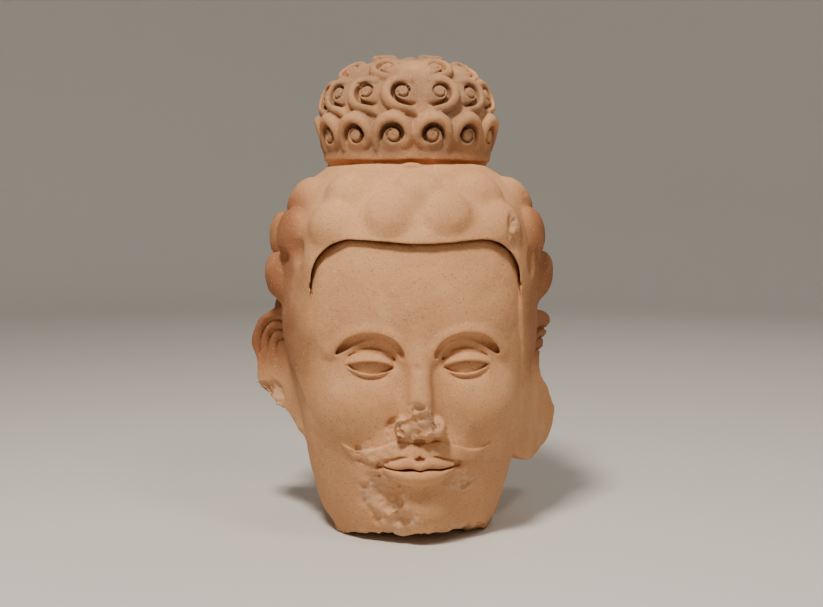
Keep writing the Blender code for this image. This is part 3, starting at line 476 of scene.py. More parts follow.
def hair_skin(patch, plain):
    """Hair as a skin over the head, with locks standing out and a hollow below each of the side ones."""
    thick = HAIR_THIN + (HAIR_THICK - HAIR_THIN) * ease(0.290, 0.350, patch.points[:, 2])
    shape = plain - thick
    for spot, across, up, out, shallow in LOCKS:
        near = patch.near(spot, 0.060)
        if not len(near):
            continue
        tilt = radians(20 - 14 * shallow)
        axes = [across, up * cos(tilt) + out * sin(tilt), out * cos(tilt) - up * sin(tilt)]
        radii = (0.029 + 0.002 * shallow, 0.038 - 0.007 * shallow, 0.0215)
        centre = spot - out * (0.0075 + 0.0015 * shallow) - up * 0.004
        lock = ellipsoid(patch.points[near], centre, radii, axes)
        shape[near] = join(shape[near], lock, 0.005 + 0.002 * shallow)
        if shallow < 0.5:
            centre = spot - up * 0.0335 + out * 0.0035
            hollow = ellipsoid(patch.points[near], centre, (0.0125, 0.0110, 0.0085), [across, up, out])
            shape[near] = cut(shape[near], hollow, 0.006)
    return shape


def opening(points):
    """Outline of the bare face seen from the front: negative inside the hairline."""
    z = points[:, 2]
    x = np.abs(points[:, 0]) - OPENING_SPREAD * ease(0.290, 0.175, z)
    sag = OPENING_SAG * np.cos(np.clip(x / 0.09, 0, 1) * pi)
    u = x - OPENING_HALF + OPENING_CORNER
    v = z + sag - HAIRLINE + OPENING_CORNER
    corner = span(np.maximum(u, 0), np.maximum(v, 0))
    return np.minimum(np.maximum(u, v), 0) + corner - OPENING_CORNER


def sideburn(points):
    """Band in front of the ear, running down to a point. The bare face trims its front edge."""
    turn = np.arctan2(np.abs(points[:, 0]), 0.03 - points[:, 1])
    flat = np.stack([turn * BURN_RADIUS, points[:, 2]], 1)
    path = curve([(radians(angle) * BURN_RADIUS, height) for angle, height in BURN_PATH], 10)
    gap, place = along(flat, path)
    return gap - profile(place, np.linspace(0, 1, len(BURN_WIDTHS)), BURN_WIDTHS)


def hair_cover(points):
    """Where hair lies on the head: negative inside."""
    floor = 0.288 - 0.170 * ease(0.045, 0.085, points[:, 1])
    cover = join(floor - points[:, 2], sideburn(points), 0.006)
    return np.where(points[:, 1] < 0.06, keep(cover, -opening(points), 0.001), cover)


def hair(patch, plain, shape):
    points = patch.points
    high = ease(0.280, 0.318, points[:, 2])
    skin = keep(hair_skin(patch, plain), hair_cover(points), 0.0016 + 0.0050 * (1 - high))
    shape = join(shape, skin, 0.0010 + 0.0030 * (1 - high))
    rim = span(opening(points) - 0.0012, plain - 0.0012) - RIM_UNDERCUT * high
    rim = rim + 0.0060 * (1 - high)
    shape = np.where(points[:, 1] < 0.03, cut(shape, rim, 0.0010 + 0.0020 * (1 - high)), shape)
    for side, depth, height in TEMPLE_HOLLOWS:
        near = patch.near(np.array((side, depth, height)), 0.04)
        if len(near):
            hollow = ellipsoid(points[near], (side, depth, height), HOLLOW_RADII)
            shape[near] = cut(shape[near], hollow, 0.005)
    near = patch.near(np.array(CAP_PEAK), 0.03)
    if len(near):
        peak = ellipsoid(points[near], CAP_PEAK, CAP_PEAK_RADII)
        shape[near] = join(shape[near], peak, 0.004)
    return shape


def curl(kind, u, v, w, shape):
    """One curl in its own plane: a dome, the band over it, a groove wound in and a knob in the middle."""
    sizes = CURL_KINDS[kind]
    q = np.stack([u, v, w], 1) * 1000
    flat = q[:, :2]
    middle, radii = sizes["dome"]
    curled = join(shape * 1000, ellipsoid(q, middle, radii), 2.0)
    stations = np.linspace(0, 1, len(sizes["band"]))
    gap, place = along(flat, curve(sizes["band"], 22))
    lift = q[:, 2] - profile(place, stations, sizes["lifts"])
    curled = join(curled, span(gap, lift) - profile(place, stations, sizes["halves"]), 1.5)
    knob, radius = sizes["knob"]
    stations = np.linspace(0, 1, len(sizes["turns"]))
    t = np.linspace(0, 1, 34)
    turn, coil = np.radians(profile(t, stations, sizes["turns"])), profile(t, stations, sizes["coils"])
    spiral = np.stack([knob[0] + coil * np.cos(turn), knob[1] + coil * np.sin(turn)], 1)
    gap, place = along(flat, spiral)
    half, depth = profile(place, stations, sizes["widths"]), profile(place, stations, sizes["depths"])
    groove = (span(gap / half, (q[:, 2] - 6) / (depth + 2)) - 1) * half
    curled = cut(curled, groove, 1.6)
    return join(curled, ellipsoid(q, knob, (radius, radius, radius)), 0.8) / 1000


def topknot(patch):
    plain = knot_block(patch.points)
    shape = plain.copy()
    for kind, spot, across, up, out, scale in CURLS:
        near = patch.near(spot, 0.040 * scale)
        if len(near):
            q = (patch.points[near] - spot) / scale
            shape[near] = curl(kind, q @ across, q @ up, plain[near], shape[near])
    return shape


def ear_outline(side, u, z):
    """Tall slab with a long lobe. The left lobe is broken off along a slope."""
    row = 0 if side < 0 else 1
    outer = u - profile(z, EAR_HEIGHTS[row], EAR_REACHES[row])
    top = z + EAR_LEAN_TOPS[row] * np.maximum(u - 0.02, 0) - EAR_TOPS[row]
    outline = keep(keep(outer, top, 0.030), EAR_INNER - u, 0.002)
    if side < 0:
        return keep(outline, (u - 0.010) * 0.50 - (z - 0.1315) * 0.87, 0.002)
    bottom = span((u - 0.040) / np.where(u < 0.040, 1.9, 1.35), z - 0.122) - 0.050
    return keep(outline, np.where(z < 0.122, bottom, -1.0), 0.010)


def ear(patch, side, lean, root):
    """Slab with three flutes round its upper end, each band lower than the one outside it."""
    near = patch.near(np.array([root[0] + side * 0.025, root[1] + 0.03, 0.183]), 0.16)
    if not len(near):
        return near, None
    points = patch.points[near]
    turn = radians(lean)
    q = points - np.array([root[0], root[1], 0.0])
    u = q @ np.array([side * cos(turn), sin(turn), 0.0])
    w = q @ np.array([side * sin(turn), -cos(turn), 0.0])
    z = points[:, 2]
    slab = keep(ear_outline(side, u, z), np.abs(w) - EAR_HALF_THICK, 0.009)
    row = 0 if side < 0 else 1
    centre, radii = FLUTE_CENTRES[row], FLUTE_RADII[row]
    ring = span(u - centre[0], np.maximum(z - centre[1], 0))
    clear = ease(centre[1] - 0.034, centre[1] - 0.004, z)
    soft = 0.0008 + 0.010 * (1 - clear)
    front = np.full(len(z), EAR_HALF_THICK)
    for radius in radii:
        front = front - FLUTE_STEP * ease(radius + soft, radius - soft, ring)
    shape = keep(slab, w - front, 0.0012)
    for radius, width in zip(radii, FLUTE_WIDTHS[row]):
        flute = span(ring - radius, w - front) - width * clear - 0.0001
        shape = cut(shape, flute, 0.0012)
    return near, shape


LOSSES = (
    ((-0.045, -0.143, 0.060), (0.026, 0.020, 0.024)),
    ((-0.028, -0.150, 0.030), (0.020, 0.022, 0.018)),
    ((0.056, -0.147, 0.080), (0.020, 0.014, 0.009)),
)


def nose_loss(points):
    """What has broken off the nose: all in front of a sloping, uneven plane."""
    x, y, up = points[:, 0], points[:, 1], points[:, 2] - NOSE_BASE
    plane = y + 0.1610 + 0.26 * up + 0.25 * x
    plane = plane + 0.0013 * np.sin(310 * x + 140 * up) + 0.0010 * np.sin(420 * up - 150 * x + 1)
    return np.maximum(plane, ellipsoid(points, (-0.002, -0.182, NOSE_BASE + 0.020), (0.036, 0.034, 0.034)))


def breaks(points, shape):
    """The larger losses: the nose's tip, beside the chin, below it, and under the moustache."""
    shape = cut(shape, nose_loss(points), 0.002)
    for centre, radii in LOSSES:
        shape = cut(shape, ellipsoid(points, centre, radii), 0.003)
    return shape


def underside(points):
    """Height of the break below the neck: flat in the middle, chipped up at the front and sides."""
    x, y = points[:, 0], points[:, 1]
    front = 0.012 + 0.013 * ease(0.01, 0.09, x) + 0.006 * ease(-0.06, -0.10, x)
    side = 0.016 * ease(0.092, 0.112, np.abs(x))
    return np.maximum(ease(-0.050, -0.125, y) * front, side)


def form_patch(points):
    patch = Patch(points)
    plain = head_mass(points)
    shape = plain.copy()
    near = np.nonzero((points[:, 1] < -0.05) & (np.abs(plain) < 0.075) & (points[:, 2] < 0.31))[0]
    if len(near):
        folded = points[near].copy()
        folded[:, 0] = np.abs(folded[:, 0])
        shape[near] = face(folded, plain[near])
    if patch.high[2] > 0.10:
        shape = hair(patch, plain, shape)
    if patch.high[2] > 0.38:
        shape = join(shape, topknot(patch), 0.002)
        seam = span(knot_block(points), points[:, 2] - KNOT_SEAM) - SEAM_WIDTH
        shape = cut(shape, seam, 0.002)
    for side, lean, root in EARS:
        near, slab = ear(patch, side, lean, root)
        if len(near):
            shape[near] = join(shape[near], slab, 0.003)
    shape = breaks(points, shape)
    shape = keep(shape, underside(points) - points[:, 2], 0.003)
    return keep(shape, -points[:, 2], 0.0015)


def form(points):
    """The field at any points, worked out in small neighbourhoods."""
    cell = np.floor(points / 0.035).astype(int)
    order = np.lexsort((cell[:, 0], cell[:, 1], cell[:, 2]))
    change = np.any(cell[order][1:] != cell[order][:-1], axis=1)
    values = np.empty(len(points))
    for group in np.split(order, np.nonzero(change)[0] + 1):
        values[group] = form_patch(points[group])
    return values


LOCKS = place_locks()
CURLS = place_curls()


# The form is worked out on a grid of this step, in big blocks of small blocks near the surface only.
GRID_STEP = 0.0026
BIG_BLOCK, SMALL_BLOCK = 16, 4
BIG_MARGIN, SMALL_MARGIN = 0.008, 0.002
FAR = 0.02
GRID_BORDER = 0.008
MOST_TRIANGLES = 198000
SPLIT_FACES = 30000
# How far each press may move a point, in metres, and how much it evens the points out.
PRESSES = ((0.0012, 0.25), (0.0010, 0.12), (0.0008, 0.0))


def hashed(i, j, k, seed):
    """Repeatable number from -1 to 1 for each whole cell."""
    n = (i * 374761393 + j * 668265263 + k * 1440670441 + seed * 1274126177) & 0xFFFFFFFF
    n = ((n ^ (n >> 13)) * 1274126177) & 0xFFFFFFFF
    return ((n ^ (n >> 16)) & 0xFFFF) / 32767.5 - 1


def grain(points, size, seed):
    """Soft noise from -1 to 1 with lumps of the given size."""
    spot = points / size
    cell = np.floor(spot).astype(np.int64)
    t = spot - cell
    t = t * t * t * (t * (t * 6 - 15) + 10)
    total = np.zeros(len(points))
    for dx in (0, 1):
        for dy in (0, 1):
            for dz in (0, 1):
                wx = t[:, 0] if dx else 1 - t[:, 0]
                wy = t[:, 1] if dy else 1 - t[:, 1]
                wz = t[:, 2] if dz else 1 - t[:, 2]
                total += wx * wy * wz * hashed(cell[:, 0] + dx, cell[:, 1] + dy, cell[:, 2] + dz, seed)
    return total


def read(items, name, width, kind=float):
    """One property of every item, in rows of the given width."""
    values = np.empty(len(items) * width, kind)
    items.foreach_get(name, values)
    return values.reshape(-1, width)


def read_points(solid):
    return read(solid.data.vertices, "co", 3)


def read_normals(solid):
    return read(solid.data.vertex_normals, "vector", 3)


def read_edges(solid):
    """The two ends of every edge, as two lines of point numbers."""
    return read(solid.data.edges, "vertices", 2, int).T


def write_points(solid, points):
    solid.data.vertices.foreach_set("co", points.ravel())
    solid.data.update()


def add_object(name, data):
    added = bpy.data.objects.new(name, data)
    bpy.context.scene.collection.objects.link(added)
    return added


def bake_modifiers(solid):
    bpy.context.view_layer.update()
    graph = bpy.context.evaluated_depsgraph_get()
    shape = bpy.data.meshes.new_from_object(solid.evaluated_get(graph))
    old = solid.data
    solid.modifiers.clear()
    solid.data = shape
    bpy.data.meshes.remove(old)


def even_out(solid, points, normals, share):
    """Slide each point along the surface towards the middle of its neighbours."""
    a, b = read_edges(solid)
    total = np.zeros_like(points)
    for axis in range(3):
        total[:, axis] = np.bincount(a, points[b, axis], len(points))
        total[:, axis] += np.bincount(b, points[a, axis], len(points))
    count = np.bincount(np.concatenate([a, b]), minlength=len(points))
    slide = total / count[:, None] - points
    slide -= normals * (slide * normals).sum(1)[:, None]
    return points + slide * share


def press(solid, limit, share):
    """Move every point towards the carved surface by no more than the limit."""
    points, normals = read_points(solid), read_normals(solid)
    depth = np.clip(form(points + ORIGIN), -limit, limit)
    points = points - normals * depth[:, None]
    write_points(solid, points)
    if share:
        write_points(solid, even_out(solid, points, read_normals(solid), share))


def lattice(counts, step):
    """Every corner of a block grid."""
    axes = [np.arange(count) * step for count in counts]
    return np.stack(np.meshgrid(*axes, indexing="ij"), -1).reshape(-1, 3)


def sample_form():
    """The form on a grid, worked out only near its surface, and the grid's low corner."""
    low, high = solid_box + ORIGIN
    low, high = low - GRID_BORDER, high + GRID_BORDER
    counts = np.ceil((high - low) / (GRID_STEP * BIG_BLOCK)).astype(int)
    values = np.full(counts * BIG_BLOCK, FAR, np.float32)
    blocks = lattice(counts, BIG_BLOCK)
    for size, margin, inner in ((BIG_BLOCK, BIG_MARGIN, SMALL_BLOCK), (SMALL_BLOCK, SMALL_MARGIN, 1)):
        middle = form((blocks + size / 2) * GRID_STEP + low)
        crossed = np.abs(middle) < 0.9 * size * GRID_STEP + margin
        for i, j, k in blocks[~crossed & (middle < 0)]:
            values[i:i + size, j:j + size, k:k + size] = -FAR
        blocks = (blocks[crossed][:, None] + lattice([size // inner] * 3, inner)).reshape(-1, 3)
    values[blocks[:, 0], blocks[:, 1], blocks[:, 2]] = form(blocks * GRID_STEP + low)
    return values, low


def keep_largest(shape):
    """Drop every loose crumb, so that the head is one piece."""
    seen, groups = set(), []
    for start in shape.verts:
        if start in seen:
            continue
        seen.add(start)
        queue = [start]
        for vert in queue:
            others = [edge.other_vert(vert) for edge in vert.link_edges]
            queue += [other for other in others if other not in seen]
            seen.update(others)
        groups.append(queue)
    groups.remove(max(groups, key=len))
    bmesh.ops.delete(shape, geom=[vert for group in groups for vert in group], context="VERTS")


def carve_head():
    """The same form as the CAD solid, cut at a finer grain."""
    values, low = sample_form()
    grid = vdb.FloatGrid(FAR)
    grid.copyFromArray(values)
    points, triangles, quads = grid.convertToPolygons(0.0, 0.0)
    faces = np.asarray(quads).tolist() + np.asarray(triangles).tolist()
    data = bpy.data.meshes.new("carved_head")
    data.from_pydata((np.asarray(points) * GRID_STEP + low - ORIGIN).tolist(), [], faces)
    shape = bmesh.new()
    shape.from_mesh(data)
    keep_largest(shape)
    shape.to_mesh(data)
    shape.free()
    data.shade_smooth()
    head = add_object("carved_head", data)
    split_curved(head)
    for limit, share in PRESSES:
        press(head, limit, share)
    return head


def split_curved(head):
    """Split the faces where the surface turns most, so that grooves and rims get finer ones."""
    data, normals = head.data, read_normals(head)
    a, b = read_edges(head)
    turn = 1 - (normals[a] * normals[b]).sum(1)
    bend = np.zeros(len(normals))
    np.maximum.at(bend, a, turn)
    np.maximum.at(bend, b, turn)
    corners = read(data.loops, "vertex_index", 1, int)[:, 0]
    starts = read(data.polygons, "loop_start", 1, int)[:, 0]
    score = np.add.reduceat(bend[corners], starts)
    chosen = np.sort(np.argsort(-score, kind="stable")[:SPLIT_FACES])
    shape = bmesh.new()
    shape.from_mesh(data)
    shape.faces.ensure_lookup_table()
    edges = {edge.index: edge for i in chosen for edge in shape.faces[i].edges}
    bmesh.ops.subdivide_edges(shape, edges=[edges[i] for i in sorted(edges)], cuts=1, use_grid_fill=True)
    bmesh.ops.triangulate(shape, faces=shape.faces)
    shape.to_mesh(data)
    shape.free()
    data.update()


def thin_out(head):
    """Keep the piece under its share of triangles, with the finest ones where it curves most."""
    fewer = head.modifiers.new("fewer", "DECIMATE")
    fewer.ratio = min(1.0, MOST_TRIANGLES / len(head.data.polygons))
    bake_modifiers(head)


def near_ball(points, centre, radii, soft):
    """1 inside a stretched ball, falling to 0 over the soft share outside it."""
    size = length((points - np.array(centre)) / np.array(radii))
    return 1 - ease(1.0, 1.0 + soft, size)


# Rough places: centre, radii and how rough.
ROUGH = (
    ((-0.001, -0.166, NOSE_BASE + 0.016), (0.023, 0.013, 0.026), 1.0),
    ((-0.045, -0.135, 0.060), (0.030, 0.030, 0.028), 1.0),
    ((-0.030, -0.140, 0.030), (0.028, 0.032, 0.022), 1.0),
    ((0.056, -0.138, 0.081), (0.024, 0.025, 0.012), 0.9),
    ((-0.026, -0.150, 0.140), (0.014, 0.022, 0.018), 0.8),
    ((-0.058, -0.136, 0.112), (0.024, 0.022, 0.011), 0.7),
    ((0.117, -0.110, 0.379), (0.008, 0.020, 0.022), 0.7),
    ((-0.186, 0.038, 0.161), (0.024, 0.030, 0.017), 1.0),
    ((0.188, 0.046, 0.098), (0.012, 0.022, 0.032), 0.7),
    ((0.0, -0.060, 0.004), (0.110, 0.080, 0.006), 0.5),
)
# Shallow chips: centre, radius and depth.
CHIPS = (
    ((-0.007, -0.111, 0.4400), 0.0085, 0.0016),
    ((0.116, -0.112, 0.388), 0.0090, 0.0034),
    ((0.118, -0.108, 0.367), 0.0070, 0.0026),
    ((0.141, -0.071, 0.206), 0.0045, 0.0018),
    ((0.142, -0.063, 0.192), 0.0035, 0.0016),
    ((0.167, 0.032, 0.124), 0.0065, 0.0018),
    ((0.175, 0.041, 0.093), 0.0060, 0.0022),
    ((-0.190, 0.042, 0.165), 0.0150, 0.0040),
    ((-0.060, -0.049, 0.561), 0.0110, 0.0026),
    ((-0.002, -0.157, 0.219), 0.0060, 0.0020),
    ((-0.026, -0.166, 0.146), 0.0065, 0.0028),
    ((-0.073, -0.128, 0.118), 0.0060, 0.0020),
    ((-0.067, -0.093, 0.441), 0.0040, 0.0012),
)


def roughness(points):
    """How broken the stone is, from 0 for a worked face to 1 for a fresh break."""
    rough = np.zeros(len(points))
    for centre, radii, amount in ROUGH:
        rough = np.maximum(rough, near_ball(points, centre, radii, 0.25) * amount)
    below = underside(points) - points[:, 2]
    rough = np.maximum(rough, ease(-0.006, -0.001, below) * ease(0.0008, 0.004, points[:, 2]))
    side, lean, root = EARS[0]
    turn = radians(lean)
    u = (points - np.array([root[0], root[1], 0])) @ np.array([side * cos(turn), sin(turn), 0.0])
    edge = (u - 0.010) * 0.50 - (points[:, 2] - 0.1315) * 0.87
    torn = ease(-0.0045, -0.0010, edge) * ease(-0.142, -0.150, points[:, 0])
    return np.maximum(rough, torn)


# Wear, then the lumps, cracks and crumbs of a break: height, size and seed of the noise.
WEAR = ((0.0007, 0.036, 1), (0.0004, 0.014, 2), (0.0002, 0.006, 3))
BREAK_LUMPS, BREAK_CRACKS, BREAK_CRUMBS = (0.0036, 0.0170, 4), (0.0024, 0.0080, 5), (0.0014, 0.0038, 6)
BREAK_SINK = 0.0004
# Small pits: space is cut into cells, and some cells hold one pit.
PIT_CELL, PIT_RARITY, PIT_DEPTH = 0.022, 0.62, 0.0011
PIT_RADIUS, PIT_RADIUS_RANGE = 0.0024, 0.0012
PIT_EDGE = (0.3, 1.0)
KNOB_PIT_DEPTH, KNOB_PIT_EDGE = 0.0022, (0.0007, 0.0021)
CHIP_EDGE, CHIP_WAVER, CHIP_GRAIN = (0.55, 1.05), 0.25, 0.004
# The relief fades out towards the flat underside between these heights.
FLAT_EDGE = (0.0010, 0.0030)
HOLLOW_REACH = 0.009


def lumps(points, sizes):
    height, size, seed = sizes
    return height * grain(points, size, seed)


def break_skin(points):
    """Height of a fresh break: lumps, cracks between them and crumbs."""
    height = lumps(points, BREAK_LUMPS) - np.abs(lumps(points, BREAK_CRACKS)) - BREAK_SINK
    return height + lumps(points, BREAK_CRUMBS)


def pits(points):
    """Depth of the small round pits, at most one in each cell of space."""
    depth = np.zeros(len(points))
    home = np.floor(points / PIT_CELL).astype(np.int64)
    for step in lattice((3, 3, 3), 1) - 1:
        i, j, k = (home + step).T
        some = hashed(i, j, k, 11) > PIT_RARITY
        if not some.any():
            continue
        i, j, k = i[some], j[some], k[some]
        jitter = np.stack([hashed(i, j, k, seed) for seed in (12, 13, 14)], 1)
        spot = (np.stack([i, j, k], 1) + 0.5 + 0.5 * jitter) * PIT_CELL
        radius = PIT_RADIUS + PIT_RADIUS_RANGE * hashed(i, j, k, 15)
        gap = length(points[some] - spot) / radius
        depth[some] += PIT_DEPTH * (1 - ease(*PIT_EDGE, gap))
    return depth


def knob_pits(points):
    """Depth of the drilled point in the middle of each curl's knob."""
    depth = np.zeros(len(points))
    for kind, spot, across, up, out, scale in CURLS:
        middle, size = CURL_KINDS[kind]["knob"]
        middle = spot + (across * middle[0] + up * middle[1] + out * (middle[2] + size)) * scale / 1000
        gap = length(points - middle)
        depth += KNOB_PIT_DEPTH * (1 - ease(*KNOB_PIT_EDGE, gap))
    return depth


def chips(points):
    """Depth of the shallow chips, each with an uneven edge."""
    depth = np.zeros(len(points))
    waver = CHIP_WAVER * grain(points, CHIP_GRAIN, 6)
    for centre, radius, most in CHIPS:
        gap = length(points - np.array(centre)) / radius
        depth += most * (1 - ease(*CHIP_EDGE, gap + waver))
    return depth


def relief(points, rough):
    """Wear, rough breaks, pits and chips, as metres outwards."""
    height = sum(lumps(points, sizes) for sizes in WEAR) + break_skin(points) * rough
    height = height - pits(points) - knob_pits(points) - chips(points)
    return height * ease(*FLAT_EDGE, points[:, 2])


def hollow_share(points, normals):
    """How closed in a place is, from 0 on open ground to 1 in a deep hollow."""
    return np.clip(1 - form(points + normals * HOLLOW_REACH) / HOLLOW_REACH, 0, 2) / 2


def rust_and_shade_share(points):
    """How rust brown and shaded the stone is: the side hair and the ears, partly their own rust colour and
    partly painted shade of the sides, with a wavering edge towards the face.
    """
    z = points[:, 2]
    back = ease(0.010, 0.060, opening(points) + 0.020 * grain(points, 0.05, 7))
    side = ease(0.112, 0.150, np.abs(points[:, 0]) + 0.01 * grain(points, 0.04, 8))
    side = side * ease(0.17, 0.22, z) * ease(0.455, 0.400, z)
    return np.clip(side * (0.75 + 0.25 * back), 0, 1)


def knot_share(points):
    return ease(0.460, 0.475, points[:, 2]) * ease(0.016, 0.004, knot_block(points))


def give(head, name, values):
    slot = head.data.attributes.new(name, "FLOAT", "POINT")
    slot.data.foreach_set("value", np.ascontiguousarray(values, np.float32))


def finish_surface(head):
    """Fine relief inside the solid's box, and the masks that the stone's colours follow."""
    points, normals = read_points(head) + ORIGIN, read_normals(head)
    height = relief(points, roughness(points))
    write_points(head, points - ORIGIN + normals * height[:, None])
    thin_out(head)
    write_points(head, np.clip(read_points(head), *solid_box))
    points, normals = read_points(head) + ORIGIN, read_normals(head)
    # How closed in each place is; the colours paint shade in the hollows and light on open ground from it.
    give(head, "hollow", hollow_share(points, normals))
    give(head, "broken", roughness(points))
    # Where the side hair and ears are rust brown and painted darker as shade.
    give(head, "rust_and_shade", rust_and_shade_share(points))
    give(head, "knot", knot_share(points))


# Colours of the stone, with painted light on its open ground and painted shade in its hollows and on its
# sides, and its specks.
BUFF, DEEP_BUFF, PALE_BUFF = (0.540, 0.236, 0.092), (0.385, 0.145, 0.053), (0.650, 0.335, 0.155)
# Paler colour laid on all open ground, so that the hollows read darker: painted light and shade.
OPEN_GROUND_LIGHT = (0.760, 0.440, 0.225)
# Rust brown of the side hair and ears, dark enough to carry painted shade of the sides as well.
RUST_AND_SIDE_SHADE = (0.230, 0.072, 0.028)
KNOT_BROWN = (0.235, 0.132, 0.074)
# Near black for the deep hollows: painted shade.
HOLLOW_SHADE = (0.070, 0.030, 0.015)
FRESH_BREAK = (0.660, 0.440, 0.290)
DARK_SPECK, LIGHT_SPECK = (0.250, 0.120, 0.070), (0.860, 0.660, 0.460)
STONE_ROUGHNESS, STONE_SHEEN = 0.9, 0.25
# Scale, detail and roughness of the noise under each bump, then its strength and its height in metres.
COARSE_BUMP = ((130.0, 5.0, 0.62), 0.75, 0.0013)
FINE_BUMP = ((620.0, 3.0, 0.6), 0.50, 0.0004)


class Shade:
    """Short ways to add nodes to one material."""

    def __init__(self, material):
        self.nodes, self.links = material.node_tree.nodes, material.node_tree.links
        self.place = self.nodes.new("ShaderNodeTexCoord").outputs["Object"]

    def add(self, kind, inputs, **settings):
        """New node. Each input is a number, a colour or another node's output."""
        node = self.nodes.new(kind)
        for name, value in settings.items():
            setattr(node, name, value)
        for name, value in inputs.items():
            if isinstance(value, float):
                node.inputs[name].default_value = value
            elif isinstance(value, tuple):
                node.inputs[name].default_value = (*value, 1.0)
            else:
                self.links.new(value, node.inputs[name])
        return node

    def noise(self, scale, detail, rough=0.55):
        inputs = {"Vector": self.place, "Scale": scale, "Detail": detail, "Roughness": rough}
        return self.add("ShaderNodeTexNoise", inputs).outputs["Fac"]

    def ramp(self, value, low, high, top=1.0):
        inputs = {"Value": value, "From Min": low, "From Max": high, "To Max": top}
        return self.add("ShaderNodeMapRange", inputs, interpolation_type="SMOOTHSTEP").outputs["Result"]

    def mask(self, name):
        return self.add("ShaderNodeAttribute", {}, attribute_name=name).outputs["Fac"]

    def times(self, a, b):
        return self.add("ShaderNodeMath", {0: a, 1: b}, operation="MULTIPLY").outputs["Value"]

    def mix(self, a, b, share):
        return self.add("ShaderNodeMix", {6: a, 7: b, 0: share}, data_type="RGBA").outputs[2]

    def bump(self, sizes, under=None):
        noise, strength, height = sizes
        inputs = {"Strength": strength, "Distance": height, "Height": self.noise(*noise)}
        if under:
            inputs["Normal"] = under
        return self.add("ShaderNodeBump", inputs).outputs["Normal"]


def stone_colour(shade):
    """Cloudy buff, paler on open ground as painted light; then rust with painted shade on the sides, knot,
    painted shade in the hollows, breaks and specks over it.
    """
    noise, ramp, mask, times, mix = shade.noise, shade.ramp, shade.mask, shade.times, shade.mix
    colour = mix(BUFF, DEEP_BUFF, ramp(noise(8.0, 4.0), 0.36, 0.66))
    colour = mix(colour, PALE_BUFF, ramp(noise(22.0, 5.0), 0.50, 0.72, 0.60))
    # Paler on open ground than in the hollows: painted light, with the hollows left as painted shade.
    colour = mix(colour, OPEN_GROUND_LIGHT, ramp(mask("hollow"), 0.47, 0.30, 0.45))
    # Rust brown on the side hair and ears: partly the stone's own colour, partly painted shade of the sides.
    rust_and_shade = times(mask("rust_and_shade"), ramp(noise(15.0, 4.0), 0.12, 0.46))
    colour = mix(colour, RUST_AND_SIDE_SHADE, times(rust_and_shade, 0.82))
    knot = times(mask("knot"), ramp(noise(14.0, 4.0), 0.20, 0.60))
    colour = mix(colour, KNOT_BROWN, times(knot, 0.76))
    # Darkest deep in the hollows: painted shade.
    hollow_shade = times(ramp(mask("hollow"), 0.50, 0.74), ramp(noise(36.0, 3.0), 0.10, 0.50))
    colour = mix(colour, HOLLOW_SHADE, times(hollow_shade, 0.88))
    broken = times(mask("broken"), ramp(noise(60.0, 4.0), 0.35, 0.62))
    colour = mix(colour, FRESH_BREAK, times(broken, 0.45))
    colour = mix(colour, DARK_SPECK, ramp(noise(420.0, 3.0), 0.57, 0.70, 0.60))
    return mix(colour, LIGHT_SPECK, ramp(noise(480.0, 2.0), 0.62, 0.76, 0.50))


def new_material(name, roughness):
    """A material, and the inputs of its shader."""
    material = bpy.data.materials.new(name)
    material.use_nodes = True
    inputs = material.node_tree.nodes["Principled BSDF"].inputs
    inputs["Roughness"].default_value = roughness
    return material, inputs


def stone_material():
    """Buff pink sandstone: cloudy colour, grain, painted light on open ground, rust brown side hair darkened
    by painted shade, browner topknot, painted shade in the hollows.
    """
    stone, inputs = new_material("sandstone", STONE_ROUGHNESS)
    inputs["Specular IOR Level"].default_value = STONE_SHEEN
    shade = Shade(stone)
    shade.links.new(stone_colour(shade), inputs["Base Color"])
    shade.links.new(shade.bump(FINE_BUMP, shade.bump(COARSE_BUMP)), inputs["Normal"])
    return stone


# Floor: a plain pale round, which curves up into a wall on every side.
FLOOR_SIDES = 96
FLOOR_RINGS = (0.6, 1.8)
FLOOR_FLAT, FLOOR_BEND, BEND_STEPS, WALL_TOP = 3.0, 1.2, 12, 5.0
FLOOR_COLOUR, FLOOR_ROUGHNESS = (0.62, 0.60, 0.57, 1.0), 0.85


def floor_mesh():
    line = [(out, 0.0) for out in FLOOR_RINGS]
    for i in range(BEND_STEPS + 1):
        turn = pi / 2 * i / BEND_STEPS
        line.append((FLOOR_FLAT + FLOOR_BEND * sin(turn), FLOOR_BEND - FLOOR_BEND * cos(turn)))
    line.append((FLOOR_FLAT + FLOOR_BEND, WALL_TOP))
    turns = [2 * pi * i / FLOOR_SIDES for i in range(FLOOR_SIDES)]
    verts = [(0.0, 0.0, 0.0)] + [(out * cos(turn), out * sin(turn), up) for out, up in line for turn in turns]
    faces = []
    for i in range(FLOOR_SIDES):
        after = (i + 1) % FLOOR_SIDES
        faces.append((0, 1 + i, 1 + after))
        for low in range(1, 1 + (len(line) - 1) * FLOOR_SIDES, FLOOR_SIDES):
            faces.append((low + i, low + FLOOR_SIDES + i, low + FLOOR_SIDES + after, low + after))
    data = bpy.data.meshes.new("floor")
    data.from_pydata(verts, [], faces)
    data.shade_smooth()
    return data


def add_floor():
    floor = add_object("floor", floor_mesh())
    paint, inputs = new_material("pale floor", FLOOR_ROUGHNESS)
    inputs["Base Color"].default_value = FLOOR_COLOUR
    floor.data.materials.append(paint)


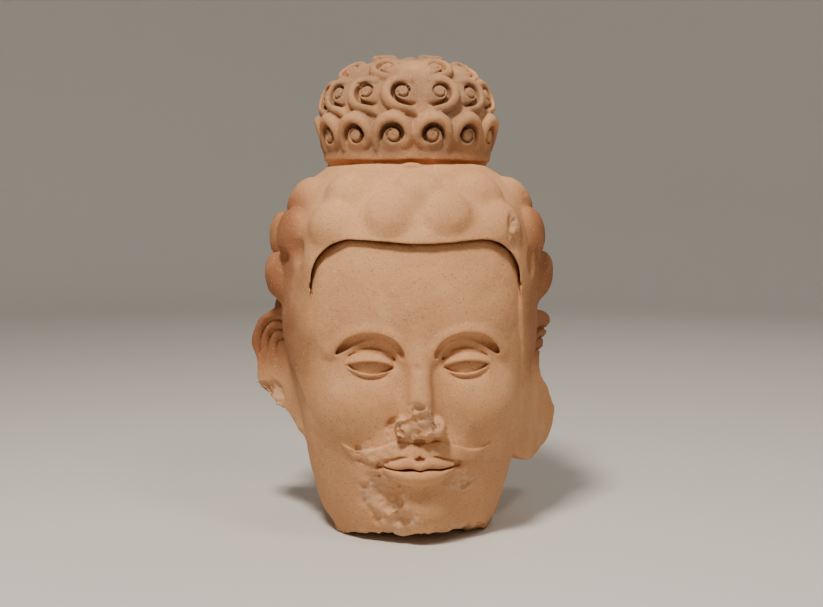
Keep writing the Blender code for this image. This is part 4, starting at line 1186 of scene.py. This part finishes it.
# Each light's name, place, width in metres, power in watts and the height on the middle line it looks at.
LIGHTS = (
    ("key", (-0.48, -1.15, 2.30), 0.36, 76.0, 0.25),
    ("second", (0.80, -1.00, 2.10), 0.40, 9.0, 0.25),
    ("fill", (0.0, -2.8, 1.3), 2.0, 1.6, 0.25),
    ("back", (1.3, 1.6, 2.2), 1.2, 11.0, 0.3),
)
LIGHT_COLOUR = (1.0, 0.92, 0.82)
WORLD_COLOUR, WORLD_STRENGTH = (1.0, 0.95, 0.89, 1.0), 0.20


def look_along(thing, way):
    thing.rotation_euler = way.to_track_quat("-Z", "Y").to_euler()


def light_scene():
    for name, place, size, power, height in LIGHTS:
        data = bpy.data.lights.new(name, "AREA")
        data.size, data.energy, data.color = size, power, LIGHT_COLOUR
        light = add_object(name, data)
        light.location = place
        look_along(light, Vector((0, 0, height)) - Vector(place))
    world = bpy.data.worlds.new("studio")
    world.use_nodes = True
    inputs = world.node_tree.nodes["Background"].inputs
    inputs["Color"].default_value = WORLD_COLOUR
    inputs["Strength"].default_value = WORLD_STRENGTH
    bpy.context.scene.world = world


# The camera stands a little to the left, above the brow, and looks slightly down.
SENSOR_WIDTH = 36.0
PICTURE_WIDTH = 823
FOCAL_PIXELS = 1300.0
CAMERA_TURN, CAMERA_DIP = radians(4.5), radians(5.08)
CAMERA_DISTANCE, CAMERA_HEIGHT = 1.693, 0.429
AXIS_OFFSET_PIXELS = 3.5
LOOKED_AT_DEPTH = 0.03


def add_camera():
    data = bpy.data.cameras.new("camera")
    data.sensor_width = SENSOR_WIDTH
    data.lens = FOCAL_PIXELS * SENSOR_WIDTH / PICTURE_WIDTH
    camera = add_object("camera", data)
    right = Vector((cos(CAMERA_TURN), -sin(CAMERA_TURN), 0))
    ahead = Vector((sin(CAMERA_TURN), cos(CAMERA_TURN), 0))
    middle = Vector((-ORIGIN[0], LOOKED_AT_DEPTH - ORIGIN[1], 0))
    aside = right * (AXIS_OFFSET_PIXELS * CAMERA_DISTANCE / FOCAL_PIXELS)
    place = middle - ahead * CAMERA_DISTANCE + aside
    camera.location = (place.x, place.y, CAMERA_HEIGHT)
    look_along(camera, ahead * cos(CAMERA_DIP) - Vector((0, 0, sin(CAMERA_DIP))))
    bpy.context.scene.camera = camera


def build_scene():
    head = carve_head()
    finish_surface(head)
    head.data.materials.clear()
    head.data.materials.append(stone_material())
    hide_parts("stone_head")
    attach(head, "root")
    add_floor()
    light_scene()
    add_camera()


build_scene()
